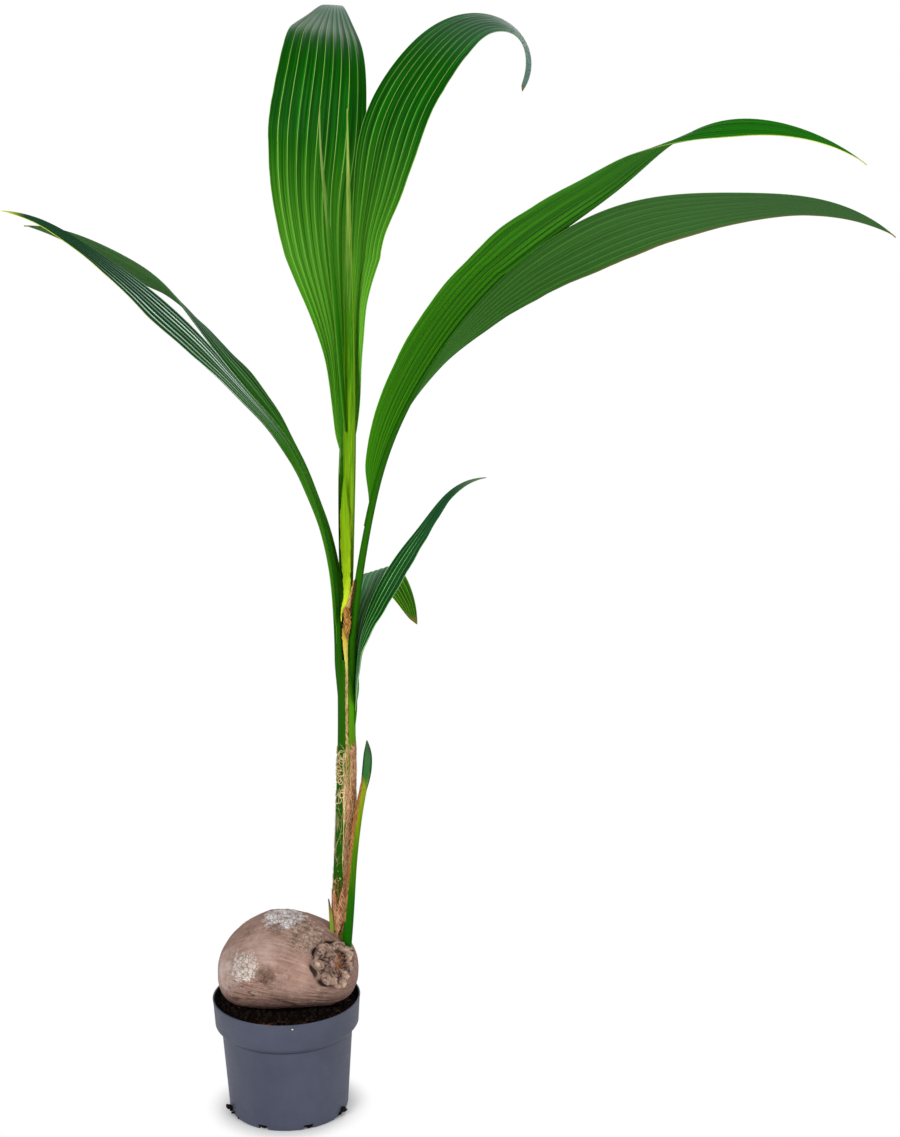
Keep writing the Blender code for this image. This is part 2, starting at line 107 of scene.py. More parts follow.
def hexColour(code):
    # an sRGB hex value as linear red, green, blue and alpha
    shares = [int(code[i:i + 2], 16) / 255 for i in (0, 2, 4)]
    return tuple(s / 12.92 if s <= 0.04045 else ((s + 0.055) / 1.055) ** 2.4 for s in shares) + (1.0,)


def addNode(tree, kind, settings=None, links=None):
    # one shader node: settings name its properties or its inputs, links give its inputs a source
    node = tree.nodes.new(kind)
    for key, value in (settings or {}).items():
        if key == "stops":
            ramp = node.color_ramp
            while len(ramp.elements) < len(value):
                ramp.elements.new(1.0)
            for element, (place, colour) in zip(ramp.elements, value):
                element.position = place
                element.color = colour
        elif isinstance(key, int) or key in node.inputs:
            node.inputs[key].default_value = value
        else:
            setattr(node, key, value)
    for key, source in (links or {}).items():
        tree.links.new(source, node.inputs[key])
    return node


def objectPlace(tree):
    # where a point lies on the piece, in metres
    return addNode(tree, "ShaderNodeTexCoord").outputs["Object"]


def attribute(tree, name, output="Fac"):
    return addNode(tree, "ShaderNodeAttribute", {"attribute_name": name}).outputs[output]


def noised(tree, place, scale, detail, roughness=0.5):
    return addNode(tree, "ShaderNodeTexNoise", {"Scale": scale, "Detail": detail, "Roughness": roughness},
                   {"Vector": place}).outputs[0]


def ranged(tree, source, low, high, start=0.0, end=1.0, kind="SMOOTHSTEP"):
    # start where the source is low, end where it is high
    settings = {"interpolation_type": kind, 1: low, 2: high, 3: start, 4: end}
    return addNode(tree, "ShaderNodeMapRange", settings, {0: source}).outputs[0]


def reckoned(tree, operation, *terms):
    # each term is a number or a source
    settings, links = {"operation": operation}, {}
    for slot, term in enumerate(terms):
        (settings if isinstance(term, float) else links)[slot] = term
    return addNode(tree, "ShaderNodeMath", settings, links).outputs[0]


def distanced(tree, place, centre):
    away = addNode(tree, "ShaderNodeVectorMath", {"operation": "DISTANCE", 1: centre}, {0: place})
    return away.outputs["Value"]


def blended(tree, share, under, over):
    # under where the share is 0 and over where it is 1; each is a hex value or a source
    settings, links = {"data_type": "RGBA"}, {0: share}
    for slot, colour in ((6, under), (7, over)):
        if isinstance(colour, str):
            settings[slot] = hexColour(colour)
        else:
            links[slot] = colour
    return addNode(tree, "ShaderNodeMix", settings, links).outputs[2]


def ramped(tree, source, *stops):
    # each stop is a place from 0 to 1 and its hex value
    return addNode(tree, "ShaderNodeValToRGB", {"stops": [(place, hexColour(code)) for place, code in stops]},
                   {"Fac": source}).outputs[0]


def newFinish(name):
    material = bpy.data.materials.new(name)
    material.use_nodes = True
    return material, material.node_tree


def surfaced(material, colour, roughness, specular, *bumps):
    # each bump is (height, strength, depth in metres) and rests on the one before
    tree = material.node_tree
    shader = tree.nodes["Principled BSDF"]
    tree.links.new(colour, shader.inputs["Base Color"])
    shader.inputs["Roughness"].default_value = roughness
    shader.inputs["Specular IOR Level"].default_value = specular
    links = {}
    for height, strength, depth in bumps:
        links["Height"] = height
        bump = addNode(tree, "ShaderNodeBump", {"Strength": strength, "Distance": depth}, links)
        links["Normal"] = bump.outputs[0]
    tree.links.new(links["Normal"], shader.inputs["Normal"])
    return material


def placeObject(name, data):
    thing = bpy.data.objects.new(name, data)
    bpy.context.scene.collection.objects.link(thing)
    return thing


def makeObject(bm, name, materials, sharpAngle=40):
    mesh = bpy.data.meshes.new(name)
    bm.to_mesh(mesh)
    bm.free()
    for material in materials:
        mesh.materials.append(material)
    mesh.shade_smooth()
    mesh.set_sharp_from_angle(angle=math.radians(sharpAngle))
    return placeObject(name, mesh)


def fitPiece(piece, slot, *nodes):
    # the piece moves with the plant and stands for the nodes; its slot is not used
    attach(piece, "root")
    if nodes:
        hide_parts(*nodes)


def keyed(values, share):
    # a smooth curve through evenly spaced values, read at share 0 to 1
    place = min(max(share, 0.0), 1.0) * (len(values) - 1)
    index = min(int(place), len(values) - 2)
    f = place - index
    b, c = values[index], values[index + 1]
    a = values[index - 1] if index else 2 * b - c
    d = values[index + 2] if index + 2 < len(values) else 2 * c - b
    return 0.5 * (2 * b + (c - a) * f + (2 * a - 5 * b + 4 * c - d) * f * f
                  + (3 * b - a - 3 * c + d) * f ** 3)


def between(values, share):
    # straight from each value to the next
    place = min(max(share, 0.0), 1.0) * (len(values) - 1)
    index = min(int(place), len(values) - 2)
    return values[index] + (values[index + 1] - values[index]) * (place - index)


def smoothStep(low, high, value):
    t = min(max((value - low) / (high - low), 0.0), 1.0)
    return t * t * (3 - 2 * t)


def directions(rise, heading):
    # along the path, level to its left, and up from its upper face
    r, h = math.radians(rise), math.radians(heading)
    along = Vector((math.cos(r) * math.cos(h), math.cos(r) * math.sin(h), math.sin(r)))
    level = Vector((-math.sin(h), math.cos(h), 0.0))
    return along, level, along.cross(level)


def grow(root, length, rise, heading, steps):
    # points, rises and headings along a path that follows its directions
    points, rises, headings = [Vector(root)], [], []
    for i in range(steps + 1):
        rises.append(keyed(rise, i / steps))
        headings.append(keyed(heading, i / steps))
        if i:
            before = directions(rises[i - 1], headings[i - 1])[0]
            here = directions(rises[i], headings[i])[0]
            points.append(points[-1] + (before + here) * (0.5 * length / steps))
    return points, rises, headings


def polar(radius, angle):
    # x and y, with the angle in radians from +X
    return radius * math.cos(angle), radius * math.sin(angle)


def thicken(bm, through):
    # the sheet gets its other side, away from it by the vector kept in the layer
    drawn = bmesh.ops.extrude_face_region(bm, geom=bm.faces[:], use_keep_orig=True)
    for vert in drawn["geom"]:
        if isinstance(vert, bmesh.types.BMVert):
            vert.co += vert[through]
    bm.verts.layers.float_vector.remove(through)


def tubeMesh(frames, sides, shape=None):
    # a limb through rings; each frame is (point, level, up, half breadth, half depth)
    bm = bmesh.new()
    along = bm.verts.layers.float.new("along")
    rim = bm.verts.layers.float.new("rim")
    rings = []
    for i, (point, level, up, breadth, depth) in enumerate(frames):
        ring = bmesh.ops.create_circle(bm, radius=1.0, segments=sides)["verts"]
        edges = list({edge for vert in ring for edge in vert.link_edges})
        for vert in ring:
            around = math.atan2(vert.co.y, vert.co.x)
            vert[rim] = abs(vert.co.x if breadth > depth else vert.co.y)
            swell = shape(i / (len(frames) - 1), around) if shape else 1.0
            vert.co = point + (level * vert.co.x * breadth + up * vert.co.y * depth) * swell
            vert[along] = i / (len(frames) - 1)
        rings.append(edges)
    for ring, following in zip(rings, rings[1:]):
        bmesh.ops.bridge_loops(bm, edges=ring + following)
    for ring in (rings[0], rings[-1]):
        bmesh.ops.contextual_create(bm, geom=ring)
    bmesh.ops.recalc_face_normals(bm, faces=bm.faces)
    return bm


def strandObject(name, routes, material, sides=1):
    # many thin fibres in one mesh; a route is a list of (point, radius)
    curve = bpy.data.curves.new(name, "CURVE")
    curve.dimensions = "3D"
    curve.bevel_depth = 1.0
    curve.bevel_resolution = sides - 1
    curve.use_fill_caps = True
    for route in routes:
        spline = curve.splines.new("POLY")
        spline.points.add(len(route) - 1)
        for place, (point, radius) in zip(spline.points, route):
            place.co = (*point, 1.0)
            place.radius = radius
    guide = placeObject(name + "Guide", curve)
    bpy.context.view_layer.update()
    mesh = bpy.data.meshes.new_from_object(guide.evaluated_get(bpy.context.evaluated_depsgraph_get()))
    bpy.data.objects.remove(guide)
    mesh.name = name
    mesh.materials.clear()
    mesh.materials.append(material)
    mesh.shade_smooth()
    return placeObject(name, mesh)


def floorPaint():
    # matt white studio board: even, with no shine
    material, tree = newFinish("mattWhiteBoard")
    shader = tree.nodes["Principled BSDF"]
    shader.inputs["Base Color"].default_value = hexColour("f4f4f4")
    shader.inputs["Roughness"].default_value = 0.9
    shader.inputs["Specular IOR Level"].default_value = 0.1
    away = distanced(tree, objectPlace(tree), (0.0, 0.0, 0.0))
    rays = addNode(tree, "ShaderNodeLightPath").outputs["Is Camera Ray"]
    seen = reckoned(tree, "MULTIPLY", ranged(tree, away, *studio["whiteFrom"]), rays)
    white = addNode(tree, "ShaderNodeEmission", {"Color": hexColour("ffffff")}).outputs[0]
    both = addNode(tree, "ShaderNodeMixShader", {}, {0: seen, 1: shader.outputs[0], 2: white}).outputs[0]
    tree.links.new(both, tree.nodes["Material Output"].inputs["Surface"])
    return material


def potPlastic():
    # injection-moulded polypropylene: slate grey, satin, with a faint grain and dusty scuffs
    material, tree = newFinish("slateMouldedPolypropylene")
    place = objectPlace(tree)
    colour = ramped(tree, noised(tree, place, 14.0, 5.0, 0.65), (0.30, "3f4355"), (0.72, "4b5063"))
    squash = addNode(tree, "ShaderNodeMapping", {"Scale": (1.0, 1.0, 9.0)}, {"Vector": place}).outputs[0]
    scuff = noised(tree, squash, 60.0, 6.0, 0.7)
    colour = blended(tree, ranged(tree, scuff, 0.60, 0.78, 0.0, 0.28, "LINEAR"), colour, "69708a")
    # painted shade: a dark band in the crease under the collar
    creaseHeight = 0.1122
    high = addNode(tree, "ShaderNodeSeparateXYZ", {}, {0: place}).outputs["Z"]
    fromCrease = reckoned(tree, "ABSOLUTE", reckoned(tree, "SUBTRACT", high, creaseHeight))
    colour = blended(tree, ranged(tree, fromCrease, 0.0006, 0.0022, 0.75, 0.0), colour, "1c1f2a")
    # the mould's grain is 0.4 mm across
    grain = noised(tree, place, 1 / (0.4 * millimetre), 2.0)
    surfaced(material, colour, 0.5, 0.35, (grain, 0.12, 0.0002))
    rough = ranged(tree, scuff, 0.3, 0.7, 0.40, 0.56, "LINEAR")
    tree.links.new(rough, tree.nodes["Principled BSDF"].inputs["Roughness"])
    return material


def peatSoil():
    # moist peat and bark: nearly black, broken up into crumbs 3 mm across, with brown fibre showing
    material, tree = newFinish("moistPeatAndBark")
    crumbs = noised(tree, objectPlace(tree), 1 / (3 * millimetre), 6.0, 0.7)
    colour = ramped(tree, crumbs, (0.38, "080503"), (0.58, "160c07"), (0.76, "2c1a0e"))
    return surfaced(material, colour, 0.88, 0.05, (crumbs, 0.8, 0.0015))


def plainFinish(name, low, high, grainSize, roughness):
    # a two-tone natural surface with grain of a real size
    material, tree = newFinish(name)
    grain = noised(tree, objectPlace(tree), 1 / grainSize, 4.0)
    colour = ramped(tree, grain, (0.32, low), (0.68, high))
    return surfaced(material, colour, roughness, 0.2, (grain, 0.3, 0.0004))


def huskFinish(patches):
    # dry coconut husk: grey-tan papery skin over long fibres, with scaly pale patches, a bruise, painted
    # highlights and painted shade
    material, tree = newFinish("dryCoconutHusk")
    place = objectPlace(tree)
    # fibres 1.2 mm apart that run from end to end
    fibre = noised(tree, attribute(tree, "grain", "Vector"), 1.0, 7.0, 0.68)
    colour = ramped(tree, fibre, (0.30, "4e382f"), (0.42, "8a6b5e"), (0.58, "ab8b7d"), (0.78, "c8ada0"))
    cloud = noised(tree, place, 22.0, 4.0)
    colour = blended(tree, ranged(tree, cloud, 0.35, 0.62, 0.0, 0.40, "LINEAR"), colour, "7c6058")
    # painted shade darkens the creases between the fibre bundles
    colour = blended(tree, reckoned(tree, "MULTIPLY", attribute(tree, "crease"), 0.85), colour, "3c2820")
    # painted shade: the skin darkens low down, on its underside
    height = addNode(tree, "ShaderNodeSeparateXYZ", {}, {0: place}).outputs["Z"]
    colour = blended(tree, ranged(tree, height, 0.205, 0.160, 0.0, 0.42), colour, "5e4238")
    # each patch fades out from its centre with a ragged, flaking edge
    ragged = noised(tree, place, 130.0, 8.0, 0.62)
    cover = 0.0
    for centre, radius, reach, strength, grain, low, high, kind in patches:
        near = ranged(tree, distanced(tree, place, centre), 0.0, radius, reach, 0.0, "LINEAR")
        near = reckoned(tree, "ADD", near, ragged)
        start, full = (0.50, 1.20) if kind == "soft" else (0.84, 0.93)
        mask = ranged(tree, near, start, full, 0.0, strength)
        if kind == "cracked":
            cover = reckoned(tree, "MAXIMUM", cover, mask)
        flakes = ramped(tree, noised(tree, place, grain, 4.0, 0.6), (0.30, low), (0.70, high))
        colour = blended(tree, mask, colour, flakes)
    # thin dark cracks round scales 5 mm across, within the flaking patches
    bent = addNode(tree, "ShaderNodeVectorMath", {"operation": "MULTIPLY_ADD", 1: (0.004, 0.004, 0.004)},
                   {0: ragged.node.outputs["Color"], 2: place}).outputs[0]
    scaleSize = 5 * millimetre
    scales = addNode(tree, "ShaderNodeTexVoronoi", {"feature": "DISTANCE_TO_EDGE", "Scale": 1 / scaleSize},
                     {"Vector": bent}).outputs["Distance"]
    crack = reckoned(tree, "MULTIPLY", ranged(tree, scales, 0.0, 0.11, 0.8, 0.0, "LINEAR"), cover)
    colour = blended(tree, crack, colour, "5a463c")
    # painted shade: the crevice round the stalk end is nearly black
    colour = blended(tree, ranged(tree, attribute(tree, "crevice"), 0.25, 0.75, 0.0, 0.95), colour, "241813")
    return surfaced(material, colour, 0.82, 0.2, (fibre, 0.55, 0.0007), (ragged, 0.35, 0.0005))


def stalkEndFinish():
    # torn end of the fruit stalk: dry pith and bark, coloured by height, so painted shade lies dark in its
    # cracks and its knobs are pale
    material, tree = newFinish("brokenStalkEnd")
    speckle = noised(tree, objectPlace(tree), 420.0, 8.0, 0.75)
    spread = ranged(tree, speckle, 0.3, 0.7, -0.34, 0.34, "LINEAR")
    colour = ramped(tree, reckoned(tree, "ADD", attribute(tree, "height"), spread), (0.08, "1d1310"),
                    (0.27, "5c463e"), (0.48, "8f7568"), (0.75, "a88b78"), (0.97, "cfb59c"))
    return surfaced(material, colour, 0.9, 0.5, (speckle, 0.7, 0.0008))


def leafFinish(name, tone):
    # living palm leaf: the cuticle is glossy above and matt below, with pale main veins on the folds
    material, tree = newFinish(name)
    pleat, along, across = (attribute(tree, layer) for layer in ("pleat", "along", "across"))
    # long streaks between the veins
    wide, long = reckoned(tree, "MULTIPLY", pleat, 5.0), reckoned(tree, "MULTIPLY", along, 3.0)
    streakPlace = addNode(tree, "ShaderNodeCombineXYZ", {}, {0: wide, 1: long}).outputs[0]
    streaks = noised(tree, streakPlace, 1.0, 4.0, 0.6)
    colour = ramped(tree, streaks, (0.30, tone["dark"]), (0.52, tone["mid"]), (0.75, tone["light"]))
    # younger, yellower tissue towards the foot
    young = ramped(tree, streaks, (0.34, tone["footShade"]), (0.66, tone["foot"]))
    foot = ranged(tree, along, 0.05, tone["footReach"], tone["footStrength"], 0.0)
    colour = blended(tree, foot, colour, young)
    # fine parallel veins, four to a pleat
    fine = reckoned(tree, "PINGPONG", reckoned(tree, "MULTIPLY", pleat, 4.0), 0.5)
    shade = ranged(tree, fine, 0.0, 0.5, tone["fineStrength"], 0.0, "LINEAR")
    colour = blended(tree, shade, colour, tone["fine"])
    # painted shade: the valleys between the veins are darkened near the foot, and so is the edge beside the
    # midrib
    fold = reckoned(tree, "PINGPONG", pleat, 0.5)
    valley, beside = ranged(tree, fold, 0.26, 0.5), ranged(tree, across, 0.13, 0.02, 0.0, 1.6)
    lower = ranged(tree, along, 0.25, 0.75, tone["valley"], 0.0)
    hidden = reckoned(tree, "MULTIPLY", reckoned(tree, "MAXIMUM", valley, beside), lower)
    colour = blended(tree, hidden, colour, tone["paintedShade"])
    # a main vein stands on each fold; it fades towards both ends and the margin, and no two are alike
    alike = noised(tree, streakPlace, 0.9, 1.0)
    shown = ranged(tree, fold, tone["veinHalf"] * 1.9, tone["veinHalf"] * 0.4, 0.0, tone["veinStrength"])
    for part in (ranged(tree, along, tone["veinFrom"], tone["veinFrom"] + 0.2),
                 ranged(tree, along, tone["veinTo"], tone["veinTo"] + 0.2, 1.0, 0.0),
                 ranged(tree, across, 0.3, 0.8, 1.0, tone["veinOuter"]),
                 ranged(tree, alike, 0.38, 0.62, 1 - tone["veinVary"], 1.0, "LINEAR")):
        shown = reckoned(tree, "MULTIPLY", shown, part)
    colour = blended(tree, shown, colour, tone["vein"])
    # a greyish cast from the bend on: wax bloom, and on the glossy upper faces a painted sheen
    waxAndSheen = ranged(tree, along, tone["waxAndSheenStart"], 1.0, 0.0, tone["waxAndSheenStrength"])
    colour = blended(tree, waxAndSheen, colour, tone["waxAndSheen"])
    # the margin turns yellow towards the tip, and the tip itself is dry
    late = ranged(tree, along, tone["rimStart"], 0.95, 0.0, tone["rimStrength"])
    edge = reckoned(tree, "MULTIPLY", ranged(tree, across, 0.93, 0.985), late)
    colour = blended(tree, edge, colour, tone["rim"])
    colour = blended(tree, ranged(tree, along, tone["tipStart"], 0.995), colour, tone["tip"])
    return surfaced(material, colour, tone["roughness"], tone["specular"],
                    (fine, 0.3 * tone["relief"], 0.00015), (streaks, 0.2 * tone["relief"], 0.0003))


def stalkFinish(name, low, mid, high, top, roughness=0.5, edge=None):
    # smooth leaf stalk: waxy skin with long faint streaks, coloured from foot to tip
    material, tree = newFinish(name)
    # streaks 1.5 mm apart and 60 mm long
    drawn = addNode(tree, "ShaderNodeMapping", {"Scale": (650.0, 650.0, 16.0)}, {"Vector": objectPlace(tree)})
    streaks = noised(tree, drawn.outputs[0], 1.0, 3.0)
    wander = ranged(tree, streaks, 0.3, 0.7, -0.12, 0.12, "LINEAR")
    shift = reckoned(tree, "ADD", attribute(tree, "along"), wander)
    colour = ramped(tree, shift, (0.02, low), (0.30, mid), (0.62, high), (1.0, top))
    if edge:
        colour = blended(tree, ranged(tree, attribute(tree, "rim"), 0.72, 0.95), colour, edge)
    return surfaced(material, colour, roughness, 0.03, (streaks, 0.3, 0.0003))


def wovenFinish(name, dark, mid, light):
    # dry sheath fibre: brown threads 1 mm apart that cross at a slant, over a papery ground
    material, tree = newFinish(name)
    place = objectPlace(tree)
    crossed = 0.0
    for lean in (24.0, -30.0):
        turned = addNode(tree, "ShaderNodeMapping",
                         {"vector_type": "TEXTURE", "Rotation": (0.0, math.radians(lean), 0.0),
                          "Scale": (0.0010, 0.0030, 0.012)}, {"Vector": place})
        crossed = reckoned(tree, "MAXIMUM", crossed, noised(tree, turned.outputs[0], 1.0, 3.0))
    colour = ramped(tree, crossed, (0.42, dark), (0.53, mid), (0.66, light))
    return surfaced(material, colour, 0.86, 0.15, (crossed, 0.9, 0.0008))


makeCamera()
makeStudio()
print("camera, floor and lamps set")


pot = {
    "rimRadius": 0.095, "height": 0.155, "wall": 0.0016, "floor": 0.0030,
    "collarBase": 0.120, "collarRadius": 0.0924, "step": 0.008, "bodyRadius": 0.0842,
    "shoulderRadius": 0.0772, "footRadius": 0.0734, "cornerRise": 0.010,
    "lipRoll": 0.0011,          # radius of the rounded lip
    "segments": 192,
    "drainHoles": 8, "drainWidth": 0.013, "drainHeight": 0.007, "drainReach": 0.0085, "drainBevel": 0.0012,
}


def arcPoints(centre, radius, start, end, count):
    turn = [math.radians(start + (end - start) * i / (count - 1)) for i in range(count)]
    return [(centre[0] + radius * math.cos(a), centre[1] + radius * math.sin(a)) for a in turn]


def potProfile():
    # half sections of the outside, the rolled lip and the inside, as (radius, height)
    step, collar, height = pot["collarBase"] - pot["step"], pot["collarBase"], pot["height"]
    foot, shoulder, lip, wall = pot["footRadius"], pot["shoulderRadius"], pot["lipRoll"], pot["wall"]
    corner = [(foot + (shoulder - foot) * math.sin(a), pot["cornerRise"] * (1 - math.cos(a)))
              for a in [math.radians(d) for d in range(0, 91, 15)]]
    outside = [(0.0, 0.0012), (foot - 0.010, 0.0012), (foot - 0.008, 0.0)] + corner + [
        (pot["bodyRadius"], step - 0.001), (pot["bodyRadius"] + 0.0004, step),
        (pot["collarRadius"] - 0.0020, collar - 0.0028), (pot["collarRadius"] - 0.0007, collar - 0.0014),
        (pot["collarRadius"], collar),
        (pot["rimRadius"] - 0.0006, height - 0.0040), (pot["rimRadius"] - 0.0004, height - 0.0030)]
    roll = arcPoints((pot["rimRadius"] - lip, height - lip), lip, -20, 200, 9)
    inside = [(pot["collarRadius"] - wall, collar), (pot["bodyRadius"] - wall, step),
              (shoulder - wall, 0.012), (shoulder - wall - 0.003, pot["floor"]), (0.0, pot["floor"])]
    return outside + roll + inside


def turnedMesh(profile, segments):
    bm = bmesh.new()
    points = [bm.verts.new((radius, 0.0, height)) for radius, height in profile]
    edges = [bm.edges.new(pair) for pair in zip(points, points[1:])]
    bmesh.ops.spin(bm, geom=points + edges, cent=(0, 0, 0), axis=(0, 0, 1), angle=math.tau,
                   steps=segments, use_merge=True)
    bmesh.ops.remove_doubles(bm, verts=bm.verts, dist=1e-6)
    bmesh.ops.recalc_face_normals(bm, faces=bm.faces)
    return bm


def makePot():
    bm = turnedMesh(potProfile(), pot["segments"])
    # faces on the inside wall take the second, near-black finish: peat stain and painted shade of the deep
    # pot
    for bmFace in bm.faces:
        middle = bmFace.calc_center_median()
        inward = bmFace.normal.dot(Vector((middle.x, middle.y, 0.0))) < 0
        bmFace.material_index = int(inward and pot["floor"] / 2 < middle.z < pot["height"] - pot["lipRoll"])
    stainAndShade = plainFinish("stainedAndShadedPolypropylene", "07080b", "14151b", 0.02, 0.6)
    nurseryPot = makeObject(bm, "nurseryPot", [potPlastic(), stainAndShade], 50)
    bm = bmesh.new()
    for hole in range(pot["drainHoles"]):
        place = Matrix.Rotation(math.tau * (hole + 0.5) / pot["drainHoles"], 4, "Z")
        place @= Matrix.Translation((pot["shoulderRadius"], 0.0, pot["drainHeight"] / 2 - 0.002))
        size = Matrix.Diagonal((2 * pot["drainReach"], pot["drainWidth"], pot["drainHeight"] + 0.004, 1.0))
        made = bmesh.ops.create_cube(bm, size=1.0, matrix=place @ size)["verts"]
        upright = [edge for edge in {e for v in made for e in v.link_edges}
                   if abs(edge.verts[0].co.z - edge.verts[1].co.z) < 1e-6]
        bmesh.ops.bevel(bm, geom=upright, offset=pot["drainBevel"], segments=2, profile=0.5, affect="EDGES",
                        material=-1)
    cutter = makeObject(bm, "drainCutter", [])
    trim = nurseryPot.modifiers.new("drain holes", "BOOLEAN")
    trim.operation, trim.solver, trim.object = "DIFFERENCE", "EXACT", cutter
    bpy.context.view_layer.update()
    trimmed = nurseryPot.evaluated_get(bpy.context.evaluated_depsgraph_get())
    done = bpy.data.meshes.new_from_object(trimmed)
    nurseryPot.modifiers.clear()
    nurseryPot.data = done
    bpy.data.objects.remove(cutter)
    fitPiece(nurseryPot, "pot_plastic", "pot")


makePot()
print("pot made")


soil = {
    "level": 0.1440, "crown": 0.004, "edgeRadius": 0.0917, "rings": 44, "segments": 176,
    "base": 0.0034, "gap": 0.0020,      # the underside, and the radius it stays inside the pot's own
    "rough": 0.0016,            # height of the crumbs
    "crumbs": 520, "crumbSize": (0.0010, 0.0036),
    "perlite": 5, "perliteSize": (0.0009, 0.0014),
    "fibres": 34,
    # a few have worked out of the drain holes: angle, distance from the middle, height and size of each
    "drainedCrumbs": [
        (201, 0.0810, 0.0120, 0.0042), (203, 0.0790, 0.0098, 0.0030), (206, 0.0772, 0.0060, 0.0036),
        (199, 0.0775, 0.0050, 0.0030), (214, 0.0752, 0.0038, 0.0026), (-24, 0.0792, 0.0084, 0.0046),
        (-29, 0.0775, 0.0052, 0.0030), (-20, 0.0775, 0.0045, 0.0032), (22, 0.0775, 0.0050, 0.0028),
        (112, 0.0772, 0.0046, 0.0026)],
    "heldCrumbs": 7,            # that show dark in each drain hole
    "collarGrain": (0.0135, -0.0941, 0.1495),   # a grain of perlite stuck to the collar
}


def lumpInto(bm, centre, size, draw, flatten=1.0):
    # one irregular crumb of a few faces
    angle = draw.uniform(0, math.tau)
    turn = Matrix.Rotation(angle, 4, Vector((draw.random(), draw.random(), 0.3)).normalized())
    stretch = Matrix.Diagonal((size * draw.uniform(0.7, 1.4), size * draw.uniform(0.7, 1.2),
                               size * draw.uniform(0.5, 1.0) * flatten, 1.0))
    made = bmesh.ops.create_icosphere(bm, subdivisions=1, radius=1.0,
                                      matrix=Matrix.Translation(centre) @ turn @ stretch)["verts"]
    for vert in made:
        vert.co += (vert.co - Vector(centre)) * draw.uniform(-0.28, 0.28)


def soilHeight(x, y):
    r = math.hypot(x, y) / soil["edgeRadius"]
    crumbs = noise.noise(Vector((x, y, 0.0)) * 260) + 0.6 * noise.noise(Vector((x, y, 3.0)) * 620)
    return soil["level"] + soil["crown"] * (1 - r * r) + soil["rough"] * crumbs * smoothStep(1.02, 0.93, r)


def makeSoil():
    rings = soil["rings"]
    gap, base, shoulder = soil["gap"], soil["base"], pot["shoulderRadius"]
    low = [(0.0, base), (shoulder - 0.0052, base), (shoulder - gap, 0.012),
           (pot["bodyRadius"] - gap, pot["collarBase"] - pot["step"]), (pot["collarRadius"] - gap, 0.1205)]
    top = [(soil["edgeRadius"] * (1 - i / rings), soil["level"]) for i in range(rings + 1)]
    bm = turnedMesh(low + top, soil["segments"])
    for vert in bm.verts:
        if vert.co.z > soil["level"] - 1e-5:
            vert.co.z = soilHeight(vert.co.x, vert.co.y)
    fitPiece(makeObject(bm, "pottingMix", [peatSoil()], 60), "potting_soil", "soil")


def makeCrumbs(draw):
    bm = bmesh.new()
    for _ in range(soil["crumbs"]):
        angle, r = draw.uniform(0, math.tau), soil["edgeRadius"] * math.sqrt(draw.uniform(0.20, 0.985))
        x, y = polar(r, angle)
        size = draw.uniform(*soil["crumbSize"])
        if r + size < soil["edgeRadius"]:
            lumpInto(bm, (x, y, soilHeight(x, y) + 0.2 * size), size, draw)
    for angle, out, high, size in soil["drainedCrumbs"]:
        lumpInto(bm, (*polar(out, math.radians(angle)), high), size, draw)
    for hole in range(pot["drainHoles"]):
        for _ in range(soil["heldCrumbs"]):
            angle = math.tau * (hole + 0.5) / pot["drainHoles"] + draw.uniform(-0.07, 0.07)
            out = pot["shoulderRadius"] - draw.uniform(0.0035, 0.0075)
            place = (*polar(out, angle), draw.uniform(0.0022, 0.0040))
            lumpInto(bm, place, draw.uniform(0.0016, 0.0026), draw)
    bark = plainFinish("barkCrumb", "060403", "1a0e07", 0.002, 0.9)
    fitPiece(makeObject(bm, "soilCrumbs", [bark], 30), "potting_soil")


def makePerlite(draw):
    bm = bmesh.new()
    for _ in range(soil["perlite"]):
        angle, r = draw.uniform(0, math.tau), draw.uniform(0.062, 0.089)
        x, y = polar(r, angle)
        lumpInto(bm, (x, y, soilHeight(x, y) + 0.0006), draw.uniform(*soil["perliteSize"]), draw)
    lumpInto(bm, soil["collarGrain"], 0.0019, draw, 0.7)
    perlite = plainFinish("whitePerlite", "d8d6d0", "f7f6f2", 0.0008, 0.8)
    fitPiece(makeObject(bm, "perliteGrains", [perlite], 30), "potting_soil")


def makeRoots(draw):
    routes = []
    for i in range(soil["fibres"]):
        angle, r = draw.uniform(0, math.tau), draw.uniform(0.055, 0.088)
        if i % 3 == 0:
            angle, r = math.radians(draw.gauss(-110, 3.5)), draw.uniform(0.070, 0.086)
        point = Vector((*polar(r, angle), 0.0))
        heading, width = draw.uniform(0, math.tau), draw.uniform(0.00012, 0.00042)
        route = []
        for step in range(7):
            if point.xy.length > soil["edgeRadius"] - 0.001:
                break
            lift = 0.0008 + 0.0016 * math.sin(math.pi * step / 6) * (i % 4 == 0)
            place = Vector((point.x, point.y, soilHeight(point.x, point.y) + lift))
            route.append((place, width * (1 - 0.08 * step)))
            heading += draw.uniform(-0.7, 0.7)
            point += Vector((*polar(1.0, heading), 0.0)) * draw.uniform(0.0012, 0.0026)
        if len(route) > 3:
            routes.append(route)
    coir = plainFinish("coirRoot", "5e2f14", "b4652d", 0.0015, 0.8)
    fitPiece(strandObject("coirRoots", routes, coir), "torn_husk")


makeSoil()
soilDraw = random.Random(11)
makeCrumbs(soilDraw)
makePerlite(soilDraw)
makeRoots(soilDraw)
print("soil made")


